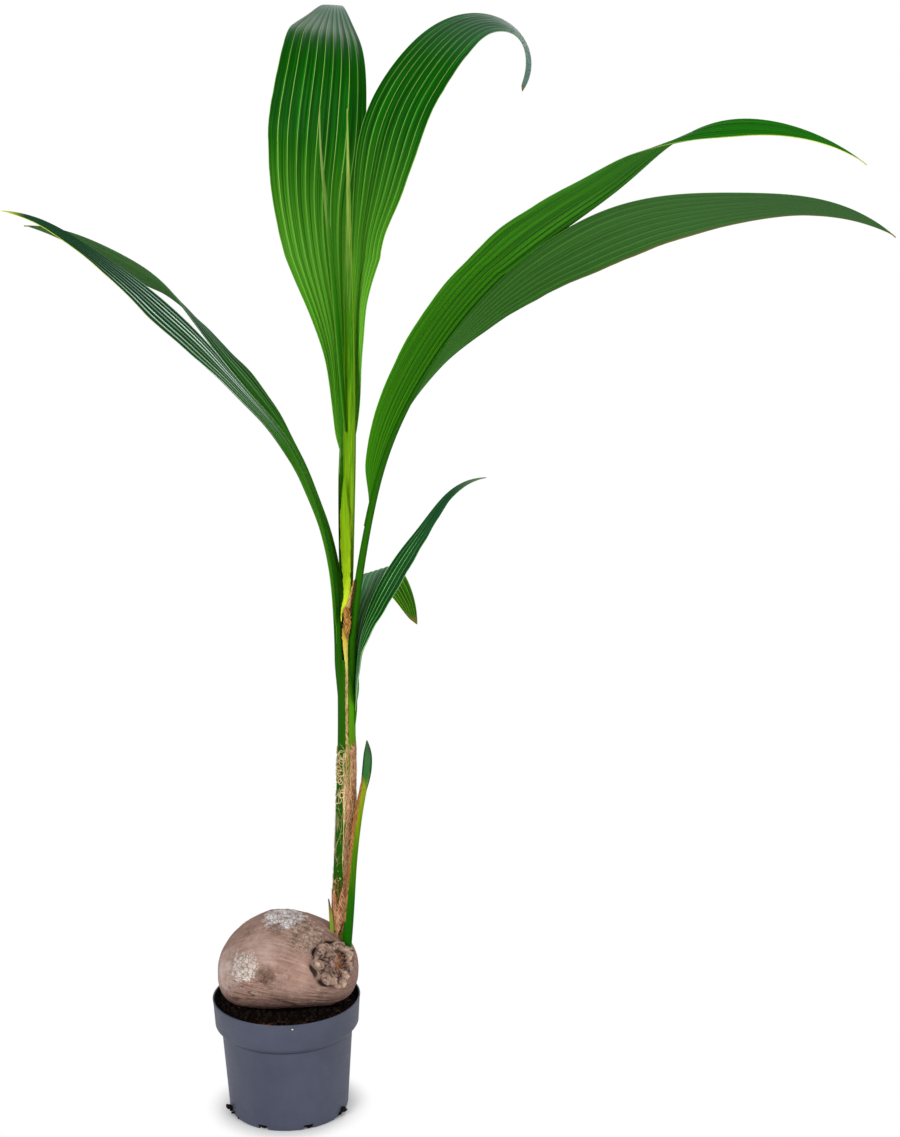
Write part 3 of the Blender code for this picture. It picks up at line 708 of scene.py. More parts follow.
# the sprouting coconut in its husk
nut = {
    "centre": Vector((0.0044, 0.0, 0.2035)), "half": Vector((0.0900, 0.0635, 0.0615)),
    "tilt": -4.0, "squareness": (2.65, 2.5), "swell": 0.11, "sag": 0.013, "slope": 0.42, "ridge": 0.03,
    "grooves": 0.00075, "lumps": 0.0016, "creaseDepth": 0.0007, "deepestCrevice": 0.0030,
    "segments": (320, 170),
    # centre, radius, reach, strength, grain, low and high colour, and kind of each patch
    "patches": [
        ((-0.0495, -0.0550, 0.2180), 0.034, 0.90, 1.0, 150.0, "8f7a6c", "f6efe6", "cracked"),
        ((0.003, -0.010, 0.270), 0.050, 0.84, 0.95, 110.0, "96857f", "f2eef0", "cracked"),
        ((-0.020, -0.064, 0.209), 0.019, 1.0, 0.88, 190.0, "2c1b16", "80604f", "bruised"),
        ((0.030, -0.034, 0.251), 0.044, 0.84, 0.9, 150.0, "3e2a24", "c8aa98", "cracked"),
        ((-0.046, -0.022, 0.251), 0.030, 0.62, 0.7, 150.0, "5a4136", "a8887a", "cracked"),
        # a painted highlight on the upper middle of the husk
        ((-0.030, -0.046, 0.238), 0.048, 0.80, 0.6, 50.0, "9c7e74", "c4aaa0", "soft"),
        # a painted highlight along the husk's left edge
        ((-0.078, -0.036, 0.205), 0.040, 0.80, 0.75, 60.0, "b0968c", "d6c6c2", "soft"),
        ((0.028, -0.064, 0.205), 0.055, 0.75, 0.65, 70.0, "9c7a6c", "c6a696", "soft"),
        ((-0.006, -0.032, 0.257), 0.026, 0.62, 0.8, 170.0, "3e2a22", "a08272", "cracked"),
    ],
    "flaking": 2,               # the first patches stand up in flakes
}
scar = {"centre": Vector((0.0664, -0.0450, 0.2172)), "radius": 0.0290, "lip": 0.0060, "rise": 0.0010,
        "creviceOut": 0.0010, "creviceHalf": 0.0030, "fibres": 110, "segments": 150}


def nutPoint(direction):
    # where a unit sphere's point lies on the husk, before the fine relief
    x, y, z = direction
    around = math.atan2(y, z)
    power = nut["squareness"][x > 0]
    radius = max(1 - abs(x) ** power, 0.0) ** (1 / power) * (1 - nut["swell"] * x)
    radius *= 1 + nut["ridge"] * math.cos(3 * around)
    high = nut["slope"] * x * x if x < 0 and z > 0 else 0.0
    if math.hypot(y, z) < 1e-6:
        radius = 0.0
    place = Vector((x * nut["half"].x, radius * math.sin(around) * nut["half"].y,
                    radius * math.cos(around) * nut["half"].z * (1 - high) - nut["sag"] * x * x))
    return Matrix.Rotation(math.radians(-nut["tilt"]), 3, "Y") @ place + nut["centre"]


def makeNut():
    bm = bmesh.new()
    grain = bm.verts.layers.float_vector.new("grain")
    dark = bm.verts.layers.float.new("crevice")
    crease = bm.verts.layers.float.new("crease")
    sides, rings = nut["segments"]
    bmesh.ops.create_uvsphere(bm, u_segments=sides, v_segments=rings, radius=1.0,
                              matrix=Matrix.Rotation(math.pi / 2, 4, "Y"))
    for vert in bm.verts:
        x, y, z = vert.co
        around = math.atan2(y, z)
        # the grain fans a little from the far end up to the sprouting end
        lean = around + 0.35 * x
        vert[grain] = Vector((x * 3.0, 34 * math.cos(lean), 34 * math.sin(lean)))
        vert.co = nutPoint(vert.co)
    bm.normal_update()
    nut["skin"] = BVHTree.FromBMesh(bm)
    for vert in bm.verts:
        g = vert[grain]
        taper = smoothStep(0.0, 0.25, 1 - abs(g.x / 3.0))
        grooves = noise.fractal(Vector((g.x * 0.9, g.y * 0.5, g.z * 0.5)), 1.0, 2.0, 4)
        lumps = noise.noise(vert.co * 38) + 0.5 * noise.noise(vert.co * 95)
        fromScar = (vert.co - scar["centre"]).length
        uneven = 0.0050 * noise.noise(vert.co * 75)
        deep = nut["deepestCrevice"] * min(max(0.75 + 1.3 * noise.noise(vert.co * 60), 0.1), 1.2)
        outside = fromScar + uneven - scar["radius"] - scar["creviceOut"]
        crevice = -deep * math.exp(-(outside / scar["creviceHalf"]) ** 2)
        # fibre bundles part in long creases, mostly on the lower half
        parted = abs(noise.noise(Vector((g.x * 0.8, g.y * 0.30, g.z * 0.30))))
        low = 0.25 + 0.75 * smoothStep(0.232, 0.205, vert.co.z)
        vert[crease] = smoothStep(0.10, 0.0, parted) * low * taper
        flaking = 0.0
        for centre, radius, *_ in nut["patches"][:nut["flaking"]]:
            near = smoothStep(radius, radius * 0.5, (vert.co - Vector(centre)).length)
            flaking += near * (0.0006 + 0.0008 * noise.noise(vert.co * 420))
        vert[dark] = -crevice / nut["deepestCrevice"]
        relief = nut["grooves"] * grooves * taper + nut["lumps"] * 0.5 * lumps + crevice + flaking
        vert.co += vert.normal * (relief - nut["creaseDepth"] * vert[crease])
    bmesh.ops.recalc_face_normals(bm, faces=bm.faces)
    fitPiece(makeObject(bm, "coconutHusk", [huskFinish(nut["patches"])], 70), "husk_skin", "nut")


def scarFrame():
    # where the stalk end sits on the husk
    point, normal, _, _ = nut["skin"].find_nearest(scar["centre"])
    turn = normal.to_track_quat("Z", "Y").to_matrix().to_4x4()
    return Matrix.Translation(point + normal * scar["rise"]) @ turn


def makeScar():
    place = scarFrame()
    # a broken, lumpy plate inside a rolled lip: a turned section, roughened
    outer, lip = scar["radius"], scar["lip"]
    section = [(0.0, 0.0002)]
    section += [(outer * s, 0.0006 * math.sin(5 * s)) for s in (0.1, 0.2, 0.3, 0.4, 0.5, 0.58)]
    section += arcPoints((outer - lip, 0.0), lip, 165, -60, 14)
    section += [(outer - lip, -lip * 0.9), (0.0, -lip * 0.8)]
    bm = turnedMesh(section, scar["segments"])
    height = bm.verts.layers.float.new("height")
    for vert in bm.verts:
        x, y, z = vert.co
        r = math.hypot(x, y) / outer
        around = math.atan2(y, x)
        uneven = 1 + 0.10 * math.sin(3 * around + 0.6) + 0.05 * math.sin(7 * around)
        rise = 0.0
        if z > -lip * 0.5:
            lumps = sum(noise.noise(Vector((x, y, z)) * fine) * high
                        for fine, high in ((110, 0.0036), (300, 0.0018), (800, 0.0009)))
            crack = -0.0022 * smoothStep(0.16, 0.0, abs(noise.noise(Vector((x, y, 5.0)) * 120)))
            rise = lumps + crack * (r < 0.95)
        vert[height] = min(max(0.5 + rise / 0.0085 + (0.12 if 0.6 < r < 0.95 else -0.10), 0.0), 1.0)
        out = Vector((x * uneven, y * uneven, z + rise))
        if r > 0.8:
            out.x *= 1 + rise * 14
            out.y *= 1 + rise * 14
        vert.co = place @ out
    bmesh.ops.recalc_face_normals(bm, faces=bm.faces)
    fitPiece(makeObject(bm, "brokenStalkEnd", [stalkEndFinish()], 60), "torn_husk", "husk_scar")


def makeTornFibres():
    # rust-brown fibres stand in the broken middle
    place = scarFrame()
    draw = random.Random(5)
    routes = []
    for i in range(scar["fibres"]):
        around, r = draw.uniform(0, math.tau), 0.010 * math.sqrt(draw.random())
        start = Vector((0.006 + r * math.cos(around) * 0.5, 0.001 + r * math.sin(around), 0.0))
        if i % 3 == 0:
            start = Vector((draw.gauss(0, 0.012), draw.gauss(0, 0.012), 0.001))
        lean = Vector((draw.uniform(-0.5, 0.5), draw.uniform(-0.9, 0.9), draw.uniform(0.35, 0.9)))
        lean.normalize()
        length, width = draw.uniform(0.003, 0.008), draw.uniform(0.00015, 0.0004)
        sag = Vector((draw.uniform(-0.4, 0.4), draw.uniform(-0.4, 0.4), -0.4))
        routes.append([(place @ (start + (lean + sag * t * t) * length * t), width * (1 - 0.7 * t))
                       for t in (0.0, 0.3, 0.6, 1.0)])
    rust = plainFinish("rustFibre", "7d3c18", "cf8444", 0.0012, 0.8)
    fitPiece(strandObject("tornFibres", routes, rust), "torn_husk")


makeNut()
makeScar()
makeTornFibres()
print("coconut made")


stem = {
    "foot": Vector((0.0718, 0.0, 0.2255)), "top": Vector((0.0856, 0.0030, 0.6066)), "bow": 0.0028,
    "breadths": (0.0120, 0.0128, 0.0119, 0.0105, 0.0108), "depths": (0.0120, 0.0126, 0.0120, 0.0122, 0.0150),
}


def stemFrame(share):
    bow = stem["bow"] * math.sin(math.pi * share)
    point = stem["foot"].lerp(stem["top"], share) + Vector((bow, 0.0, 0.0))
    return point, keyed(stem["breadths"], share), keyed(stem["depths"], share)


def stemShare(height):
    return (height - stem["foot"].z) / (stem["top"].z - stem["foot"].z)


def wrapMesh(spec):
    # a thin sheath round the stem between two heights, with its own edges at each end
    rows, columns = spec["rows"], spec["columns"]
    bm = bmesh.new()
    bmesh.ops.create_grid(bm, x_segments=columns, y_segments=rows, size=0.5)
    through = bm.verts.layers.float_vector.new("through")
    along = bm.verts.layers.float.new("along")
    for vert in bm.verts:
        u, v = vert.co.x + 0.5, vert.co.y + 0.5
        left, right = keyed(spec["left"], v), keyed(spec["right"], v)
        ragged = spec.get("ragged", 0.0)
        side = noise.noise(Vector((v * 14, 7.0 * round(u), spec["seed"])))
        left += ragged * side * 10
        right += ragged * side * 10
        height = spec["low"] + (spec["high"] - spec["low"]) * v
        end = noise.noise(Vector((u * 9, 2.0 * round(v), spec["seed"])))
        end += 0.6 * noise.noise(Vector((u * 31, v, 1.0)))
        height += ragged * 0.024 * end * smoothStep(0.35, 0.0, min(v, 1 - v))
        centre, breadth, depth = stemFrame(stemShare(height))
        around = math.radians(left + (right - left) * u)
        out = Vector((math.cos(around), math.sin(around), 0.0))
        surface = Vector((out.x * breadth, out.y * depth, 0.0))
        crinkle = spec.get("crinkle", 0.0) * noise.noise(Vector((u * 6, v * 16, spec["seed"])))
        edgeLift = spec.get("edgeLift", 0.0) * (smoothStep(0.85, 1.0, u) + smoothStep(0.15, 0.0, u))
        raised = out * (spec["off"] + crinkle + edgeLift)
        vert.co = centre + Vector((0, 0, height - centre.z)) + surface + raised
        vert[through] = out * spec["thick"]
        vert[along] = v
    thicken(bm, through)
    bmesh.ops.recalc_face_normals(bm, faces=bm.faces)
    return bm


# angles go round the stem from +X: -90 is the front; each list runs from the low end to the high end
sheaths = {
    "leftSheath": dict(
        low=0.246, high=0.606, left=(-262, -262), right=(-90, -93, -95, -94), off=0.0003, thick=0.0006,
        rows=90, columns=40, seed=1.0, edgeLift=0.0003),
    "rightSheath": dict(
        low=0.440, high=0.606, left=(-76, -75, -73, -72), right=(68, 68), off=0.0002, thick=0.0004, rows=50,
        columns=40, seed=2.0, edgeLift=0.0003),
    "wovenSheath": dict(
        low=0.2440, high=0.494, left=(-100, -92, -87, -86, -86), right=(55, 45, 40, 40), off=0.0003,
        thick=0.0005, rows=130, columns=54, seed=3.0, ragged=0.55, crinkle=0.0003),
    "dryMargin": dict(
        low=0.480, high=0.600, left=(-94, -95, -96, -95), right=(-78, -79, -79, -80), off=0.0004,
        thick=0.0006, rows=70, columns=12, seed=4.0, ragged=0.25, crinkle=0.0008, edgeLift=0.0006),
    "footWrap": dict(
        low=0.2435, high=0.292, left=(-230, -225, -215), right=(45, 45, 30), off=0.0013, thick=0.0006,
        rows=36, columns=90, seed=5.0, ragged=0.9, crinkle=0.0009),
}


def makeStem():
    green = stalkFinish("greenLeafSheath", "1c5002", "1e5404", "1f5803", "245c04")
    olive = stalkFinish("oliveLeafSheath", "66741a", "588a12", "52980c", "3c8408")
    woven = wovenFinish("wovenSheathFibre", "6a3a20", "ac7550", "d8ac86")
    margin = wovenFinish("paperyDryMargin", "7c5428", "b99a5e", "dccb92")
    steps, sides = 60, 40
    frames = []
    for i in range(steps + 1):
        point, breadth, depth = stemFrame(i / steps)
        close = 1 - 0.45 * smoothStep(0.93, 1.0, i / steps)
        frames.append((point, Vector((1, 0, 0)), Vector((0, 1, 0)), (breadth - 0.0002) * close,
                       (depth - 0.0002) * close))
    fitPiece(makeObject(tubeMesh(frames, sides), "stemCore", [olive]), "stem_sheath", "stem")
    for name, finish, slot, *nodes in (
            ("leftSheath", green, "stem_sheath"), ("rightSheath", olive, "stem_sheath"),
            ("wovenSheath", woven, "woven_fibre", "fibre_sheath"), ("dryMargin", margin, "woven_fibre"),
            ("footWrap", woven, "woven_fibre")):
        fitPiece(makeObject(wrapMesh(sheaths[name]), name, [finish]), slot, *nodes)


def onStem(angle, height, off):
    centre, breadth, depth = stemFrame(stemShare(height))
    a = math.radians(angle)
    return Vector((centre.x + math.cos(a) * (breadth + off), centre.y + math.sin(a) * (depth + off), height))


# loose threads: how many, span of heights, span of angles, thickness in metres
fibres = {
    "netLoops": dict(
        count=24, heights=(0.424, 0.488), angles=(-150, -98), width=0.00058, bend=0, climb=0.0, loop=0.0021),
    "edgeThreads": dict(
        count=20, heights=(0.300, 0.440), angles=(-99, -90), width=0.00034, bend=5, climb=0.0060,
        upright=True),
    "sheathThreads": dict(
        count=190, heights=(0.245, 0.490), angles=(-92, 45), width=0.00017, bend=26, climb=0.0042),
    "greenThreads": dict(
        count=60, heights=(0.290, 0.425), angles=(-185, -98), width=0.00013, bend=50, climb=0.0030),
    "footThreads": dict(
        count=170, heights=(0.246, 0.300), angles=(-215, 40), width=0.00024, bend=34, climb=0.0030),
    "bandThreads": dict(
        count=14, heights=(0.309, 0.318), angles=(-190, -100), width=0.00026, bend=8, climb=0.0004),
}
threadLimits = (0.2440, 0.4960)     # heights that no thread leaves
loopLimits = (-176, -94)            # angles that no loop leaves
# height, angle and reach of the ends that stand off the left and right edges of the stem
strayEnds = (
    (0.441, 188, 0.004), (0.436, 181, 0.005), (0.432, 186, 0.003), (0.428, 192, 0.004), (0.300, 184, 0.004),
    (0.296, 178, 0.003), (0.288, 190, 0.004), (0.404, 186, 0.002), (0.424, -8, 0.003), (0.416, -12, 0.0025))


def makeFibres():
    draw = random.Random(23)
    pale = plainFinish("paleSheathThread", "c0935f", "f0dba6", 0.0016, 0.75)
    rusty = plainFinish("rustSheathThread", "84402a", "c9785a", 0.0016, 0.8)
    for name, spec in fibres.items():
        routes = []
        for _ in range(spec["count"]):
            angle, height = draw.uniform(*spec["angles"]), draw.uniform(*spec["heights"])
            turn, rise = draw.uniform(-1, 1) * spec["bend"], draw.uniform(-1, 1) * spec["climb"]
            if "upright" in spec:
                rise = spec["climb"]
            width, steps = spec["width"] * draw.uniform(0.6, 1.5), 14 if "loop" in spec else 9
            loop, phase, pace = spec.get("loop", 0.0), draw.uniform(0, math.tau), draw.uniform(0.25, 0.6)
            off, route = 0.0012, []
            for step in range(steps):
                share = step / (steps - 1)
                loose = 0.0006 * math.sin(math.pi * share) * draw.uniform(0.2, 1.6)
                route.append((onStem(angle, height, off + loose), width * (1 - 0.5 * abs(2 * share - 1))))
                angle += turn / steps + draw.uniform(-2, 2)
                height += rise + draw.uniform(-0.0006, 0.0006)
                # loops curl round: a millimetre is about five degrees of the stem
                angle += loop / millimetre * 4.8 * math.sin(phase + pace * step)
                height += loop * math.cos(phase + pace * step)
                if loop:
                    angle, turn = min(max(angle, loopLimits[0]), loopLimits[1]), 0.0
                turn += draw.uniform(-12, 12)
                height = min(max(height, threadLimits[0]), threadLimits[1])
            routes.append(route)
        finish = rusty if name == "footThreads" else pale
        fitPiece(strandObject(name, routes, finish, 2), "woven_fibre")
    makeStrayEnds(pale)


def makeStrayEnds(finish):
    routes = []
    for height, angle, reach in strayEnds:
        start = onStem(angle, height, 0.0008)
        out = Vector((*polar(1.0, math.radians(angle)), 0.0))
        routes.append([(start + out * reach * t + Vector((0, 0, 0.004 * t * t - 0.003 * t)),
                        0.00022 * (1 - 0.6 * t)) for t in (0.0, 0.25, 0.5, 0.75, 1.0)])
    fitPiece(strandObject("strayEnds", routes, finish, 2), "woven_fibre")


makeStem()
makeFibres()
print("stem and fibres made")


# each leaf's stalk with midrib, then its two lobes; angles are in degrees
leftLeaf = dict(
    root=(0.0770, -0.0060, 0.6072), stalk=0.020, rib=0.385, radii=(0.0060, 0.0056, 0.0014),
    rise=(89.5, 85.5, 76, 67, 50, 51.5), heading=(170, 173, 174, 169),
    foot=dict(place=(0.0832, -0.0012, 0.5450), radius=0.0093))
leftFront = dict(
    side=1, free=0.326, rise=(42.5, 35, 31, 3.5), heading=(173, 175, 175, 175),
    lift=(-11, 5, 3, 2, -17, -10, -19), width=0.058, widest=0.52, base=0.12, ramp=1, point=0.8, pleats=7,
    fold=0.0022)
leftBack = dict(
    side=-1, free=0.322, rise=(51.5, 28.5, 17.5, -2), heading=(160, 160, 160, 160),
    lift=(54, 8, -6, 1, -24, -56, -63), width=0.056, widest=0.57, base=0.08, ramp=1.2, point=0.9, pleats=5,
    fold=0.0024)
centreLeaf = dict(
    root=(0.0843, 0.0138, 0.6072), stalk=0.225, rib=0.264, radii=(0.0060, 0.0072, 0.0015),
    rise=(88, 86, 82.5, 77.5, 80.5, 82), heading=(98, 79, 72),
    foot=dict(place=(0.0848, 0.0040, 0.5600), radius=0.0085))
centreLeft = dict(
    side=1, free=0.495, rise=(61, 71, 27, 18, -62), heading=(73, 98, 104, 95),
    lift=(50, 72, 53, 34, 21, 8, -3), width=0.124, widest=0.58, base=0.06, ramp=1.4, point=1.6, pleats=10,
    fold=0.0018)
centreRight = dict(
    side=-1, free=0.521, rise=(83, 55, 31, -25.5, -126), heading=(48, 36, 27, 15, -2),
    lift=(22, 54, 49, 2, -15, -15, -13), width=0.109, widest=0.47, base=0.07, ramp=1.3, point=0.4, pleats=9,
    fold=0.0019)
rightLeaf = dict(
    root=(0.0924, -0.0062, 0.6072), stalk=0.200, rib=0.329, radii=(0.0056, 0.0042, 0.0014),
    rise=(87, 80.5, 75.5, 63.5, 54, 43), heading=(-18, -15, -12, -18),
    foot=dict(place=(0.0872, -0.0006, 0.5600), radius=0.0088))
rightNear = dict(
    side=-1, free=0.499, rise=(33, 36, -6, -36.5), heading=(-27, -33, -25, -24),
    lift=(73, 41, 27, 21, 7, -30, -14), width=0.080, widest=0.45, base=0.05, ramp=1, point=1.1, pleats=8,
    fold=0.0026, lap=0.010, reach=0.030)
rightFar = dict(
    side=1, free=0.490, rise=(25.5, 4, -6, -40), heading=(-27, -12, -8, -11),
    lift=(19, 1, -23, -41, -52, -44, -58), width=0.084, widest=0.47, base=0.04, ramp=1, point=1.0, pleats=9,
    fold=0.0014)
smallLeaf = dict(
    root=(0.0944, -0.0038, 0.5204), stalk=0.018, rib=0.084, radii=(0.0012, 0.0020, 0.0012),
    rise=(84, 88, 85.5, 80), heading=(29, 25, 19))
smallFront = dict(
    side=-1, free=0.275, rise=(61.5, 47.5, 48, -1), heading=(28, 16, 7), lift=(24, 10, -2, -5, -11),
    width=0.046, widest=0.39, base=0.20, ramp=1, point=0.8, pleats=5, fold=0.0024)
smallBack = dict(
    side=1, free=0.276, rise=(41.5, -5.5, -52, -91.5), heading=(74, 68, 38), lift=(-48, -12, -39, -13, -15),
    width=0.061, widest=0.45, base=0.06, ramp=1, point=0.5, pleats=6, fold=0.0018)

sheet = {
    "clear": 0.0003, "tuck": 0.0007, "thick": 0.0007, "camber": 0.02, "smallestWidth": 0.0014,
    "facesPerPleat": 6, "rowLength": 0.0055, "margin": 0.0005, "lapLength": 0.26,
}


def ribRadius(leaf, distance):
    root, blade, fork = leaf["radii"]
    if distance < leaf["stalk"]:
        return root + (blade - root) * distance / leaf["stalk"]
    return blade + (fork - blade) * min((distance - leaf["stalk"]) / leaf["rib"], 1.0)


def lobeSwell(share, lobe):
    # width as a share of the greatest, from the blade's foot to its tip
    widest, base = lobe["widest"], lobe["base"]
    if share < widest:
        return base + (1 - base) * math.sin(math.pi / 2 * share / widest) ** lobe["ramp"]
    return max(math.cos(math.pi / 2 * (share - widest) / (1 - widest)), 0.0) ** lobe["point"]


def lobeFrames(leaf, lobe, rows):
    # the inner edge follows the midrib to the fork and then goes on free to the tip
    whole, steps = leaf["stalk"] + leaf["rib"], 96
    rib = grow(leaf["root"], whole, leaf["rise"], leaf["heading"], steps)
    fork, rise, heading = (track[-1] for track in rib)
    free = grow(fork, lobe["free"], (rise,) + lobe["rise"], (heading,) + lobe["heading"], steps)
    frames = []
    for row in range(rows + 1):
        share = row / rows
        distance = share * (leaf["rib"] + lobe["free"]) + leaf["stalk"]
        distance -= lobe.get("reach", 0.0) * (1 - share / 0.16) ** 2 * (share < 0.16)
        tracks, part = rib, distance / whole
        if distance > whole:
            tracks, part = free, (distance - whole) / lobe["free"]
        point, rise, heading = (between(track, part) for track in tracks)
        along, level, up = directions(rise, heading)
        lift = math.radians(keyed(lobe["lift"], share))
        across = level * (lobe["side"] * math.cos(lift)) + up * math.sin(lift)
        # the inner edge is tucked into the midrib, and just past the fork one lobe laps over the other
        past = min(max((distance - whole) / sheet["lapLength"], 0.0), 1.0)
        lap = lobe.get("lap", 0.0) * math.sin(math.pi * past ** 0.6)
        offset = ribRadius(leaf, distance) - sheet["tuck"] - lap
        width = lobe["width"] * lobeSwell(share, lobe) * smoothStep(-0.01, 0.07, share) - offset
        width = max(width, sheet["smallestWidth"])
        frames.append((point, across, along.cross(across) * lobe["side"], offset, width))
    return frames


def makeLobe(name, leaf, lobe, finishes, nodes, seed):
    length = leaf["rib"] + lobe["free"]
    rows = round(length / sheet["rowLength"])
    columns = lobe["pleats"] * sheet["facesPerPleat"]
    frames = lobeFrames(leaf, lobe, rows)
    bm = bmesh.new()
    bmesh.ops.create_grid(bm, x_segments=columns, y_segments=rows, size=0.5)
    through = bm.verts.layers.float_vector.new("through")
    pleat = bm.verts.layers.float.new("pleat")
    alongLayer = bm.verts.layers.float.new("along")
    acrossLayer = bm.verts.layers.float.new("across")
    for vert in bm.verts:
        u = vert.co.x + 0.5
        row = round((vert.co.y + 0.5) * rows)
        share = row / rows
        point, across, face, offset, width = frames[row]
        narrow = min(width / lobe["width"], 1.0)
        # folds: a ridge on each main vein and a valley between two of them
        fold = abs((u * lobe["pleats"]) % 1.0 - 0.5) * 2
        wander = noise.noise(Vector((u * 4, share * 9, seed)))
        height = sheet["camber"] * width * 4 * u * (1 - u)
        height += lobe["fold"] * narrow ** 1.5 * (fold - 0.5) * (1 + 0.35 * wander)
        ripple = math.sin(share * 61 + seed) + 0.8 * noise.noise(Vector((share * 22, 3.0, seed)))
        height += sheet["margin"] * u ** 3 * narrow * ripple
        edge = 0.0005 * narrow * u ** 4 * noise.noise(Vector((share * 55, 9.0, seed)))
        vert.co = point + across * (offset + u * width + edge) + face * (height - sheet["thick"] / 2)
        vert[through] = face * sheet["thick"]
        vert[pleat], vert[alongLayer], vert[acrossLayer] = u * lobe["pleats"], share, u
    under = set(bm.faces)
    thicken(bm, through)
    for bmFace in bm.faces:
        bmFace.material_index = int(bmFace in under)
    bmesh.ops.recalc_face_normals(bm, faces=bm.faces)
    fitPiece(makeObject(bm, name, finishes, 55), "leaf_blade", *nodes)


stalk = {
    "sides": 24, "sinkSteps": 14,
    "channel": 0.30,            # its depth as a share of the radius
    # how far past the fork, and how thick as a share of the rib
    "end": ((0.004, 0.8), (0.008, 0.5), (0.011, 0.15)),
}


def makeStalk(name, leaf, finish, node, steps=70):
    # stalk and midrib in one, with a shallow channel on the upper side of the stalk
    whole = leaf["stalk"] + leaf["rib"]
    tracks = grow(leaf["root"], whole, leaf["rise"], leaf["heading"], steps)
    frames = []
    foot = leaf.get("foot")
    if foot:
        # the foot clasps the stem: it widens and sinks into it
        _, level, up = directions(leaf["rise"][0], leaf["heading"][0])
        for i in range(stalk["sinkSteps"]):
            sink = 1 - i / stalk["sinkSteps"]
            eased = sink * sink * (3 - 2 * sink)
            point = Vector(leaf["root"]) + (Vector(foot["place"]) - Vector(leaf["root"])) * eased
            point.z = leaf["root"][2] + (foot["place"][2] - leaf["root"][2]) * sink
            radius = leaf["radii"][0] + (foot["radius"] - leaf["radii"][0]) * eased
            frames.append((point, level, up, radius, radius))
    for i, (point, rise, heading) in enumerate(zip(*tracks)):
        _, level, up = directions(rise, heading)
        radius = ribRadius(leaf, whole * i / steps)
        frames.append((point, level, up, radius, radius))
    # beyond the fork the rib dies away between the lobes
    last, ahead = frames[-1], directions(rise, heading)[0]
    for onward, share in stalk["end"]:
        frames.append((last[0] + ahead * onward, last[1], last[2], last[3] * share, last[4] * share))

    def channel(share, around):
        deep = stalk["channel"] * smoothStep(1.0, 0.5, share) * smoothStep(0.08, 0.2, share)
        return 1 - deep * smoothStep(0.62, 0.0, abs(around - math.pi / 2))

    mesh = tubeMesh(frames, stalk["sides"], channel)
    fitPiece(makeObject(mesh, name, [finish], 45), "leaf_stalk", node)


upperTone = dict(
    dark="032c00", mid="085800", light="149004", foot="a6f44c", footShade="3cba1c", footReach=0.58,
    footStrength=1.0, valley=0.30, paintedShade="0e3c02", vein="a8d468", veinHalf=0.026, veinStrength=0.9,
    veinFrom=-0.2, veinTo=0.85, veinOuter=1.0, veinVary=0.5, fine="063800", fineStrength=0.34,
    waxAndSheen="6a8a80", waxAndSheenStart=0.66, waxAndSheenStrength=0.8, rim="c8d84a", rimStart=0.55, rimStrength=0.0,
    tip="6e6a3a", tipStart=0.985, roughness=0.42, specular=0.07, relief=1.0)
# on the folded underside the vein lines and valleys are painted dark: painted shade in the folds
nearUnderTone = dict(
    upperTone, valley=0.5, dark="165200", mid="3a8408", light="54ae16", foot="4c9a0c", footShade="256a04",
    footReach=0.35, footStrength=0.8, vein="0a2c00", veinHalf=0.11, veinStrength=0.85, veinOuter=0.1,
    veinVary=0.3, veinTo=0.7, fine="103c02", fineStrength=0.35, waxAndSheen="28542a", waxAndSheenStart=0.25,
    waxAndSheenStrength=0.6, roughness=0.55, specular=0.04)
farUnderTone = dict(
    nearUnderTone, valley=0.15, dark="234e10", mid="2f661a", light="417e26", foot="3f8a14", vein="6aa048",
    veinHalf=0.045, veinStrength=0.5, veinOuter=1.0, fine="1c4408", waxAndSheen="3c5c36", waxAndSheenStrength=0.8,
    rim="8a6438", rimStart=0.15, rimStrength=0.75)
stripedTone = dict(
    upperTone, valley=0.5, dark="052e08", mid="08420c", light="14661a", foot="66bc24", footShade="145a06",
    footReach=0.75, vein="def2ea", veinHalf=0.12, veinStrength=1.0, veinFrom=0.34, veinTo=0.68,
    veinVary=0.8, fine="03200a", fineStrength=0.3, waxAndSheen="33594a", waxAndSheenStart=0.5, waxAndSheenStrength=0.35,
    rimStrength=0.9, tip="c6cf4a", tipStart=0.955, roughness=0.5, specular=0.02, relief=0.0)
hiddenTone = dict(
    stripedTone, veinStrength=0.22, waxAndSheenStrength=0.15, specular=0.0, mid="0c4412", light="1e6a28")
twistedTone = dict(
    upperTone, dark="0c5002", mid="187206", light="2c960a", veinStrength=0.15, fineStrength=0.15,
    waxAndSheenStrength=0.0, rimStart=0.60, rimStrength=1.0, tip="c9c06a", tipStart=0.972)
smallTone = dict(
    stripedTone, valley=0.3, dark="053202", mid="0b5408", light="1a7c16", foot="5c9078", footShade="16502c",
    footReach=0.26, footStrength=0.85, vein="a4dc98", veinHalf=0.055, veinStrength=0.9, veinFrom=-0.1,
    veinTo=0.6, veinVary=0.7, waxAndSheen="3f665c", waxAndSheenStart=0.3, waxAndSheenStrength=0.25, rimStrength=0.0,
    tip="64805a", tipStart=0.84, specular=0.06)
smallBackTone = dict(
    smallTone, dark="1f5a26", mid="5a985e", light="94c496", paintedShade="16401c", valley=0.8, vein="b9dcc4",
    veinStrength=0.5, fine="0c2c12", fineStrength=0.5)
hangingTone = dict(
    nearUnderTone, valley=0.0, dark="185204", mid="2c780a", light="429412", vein="bcd040", veinHalf=0.055,
    veinStrength=0.75, veinOuter=1.0, veinTo=0.95, veinVary=0.2, waxAndSheenStrength=0.0, rim="ccd048",
    rimStart=0.3, rimStrength=0.8, tip="8a7a3a", tipStart=0.96)


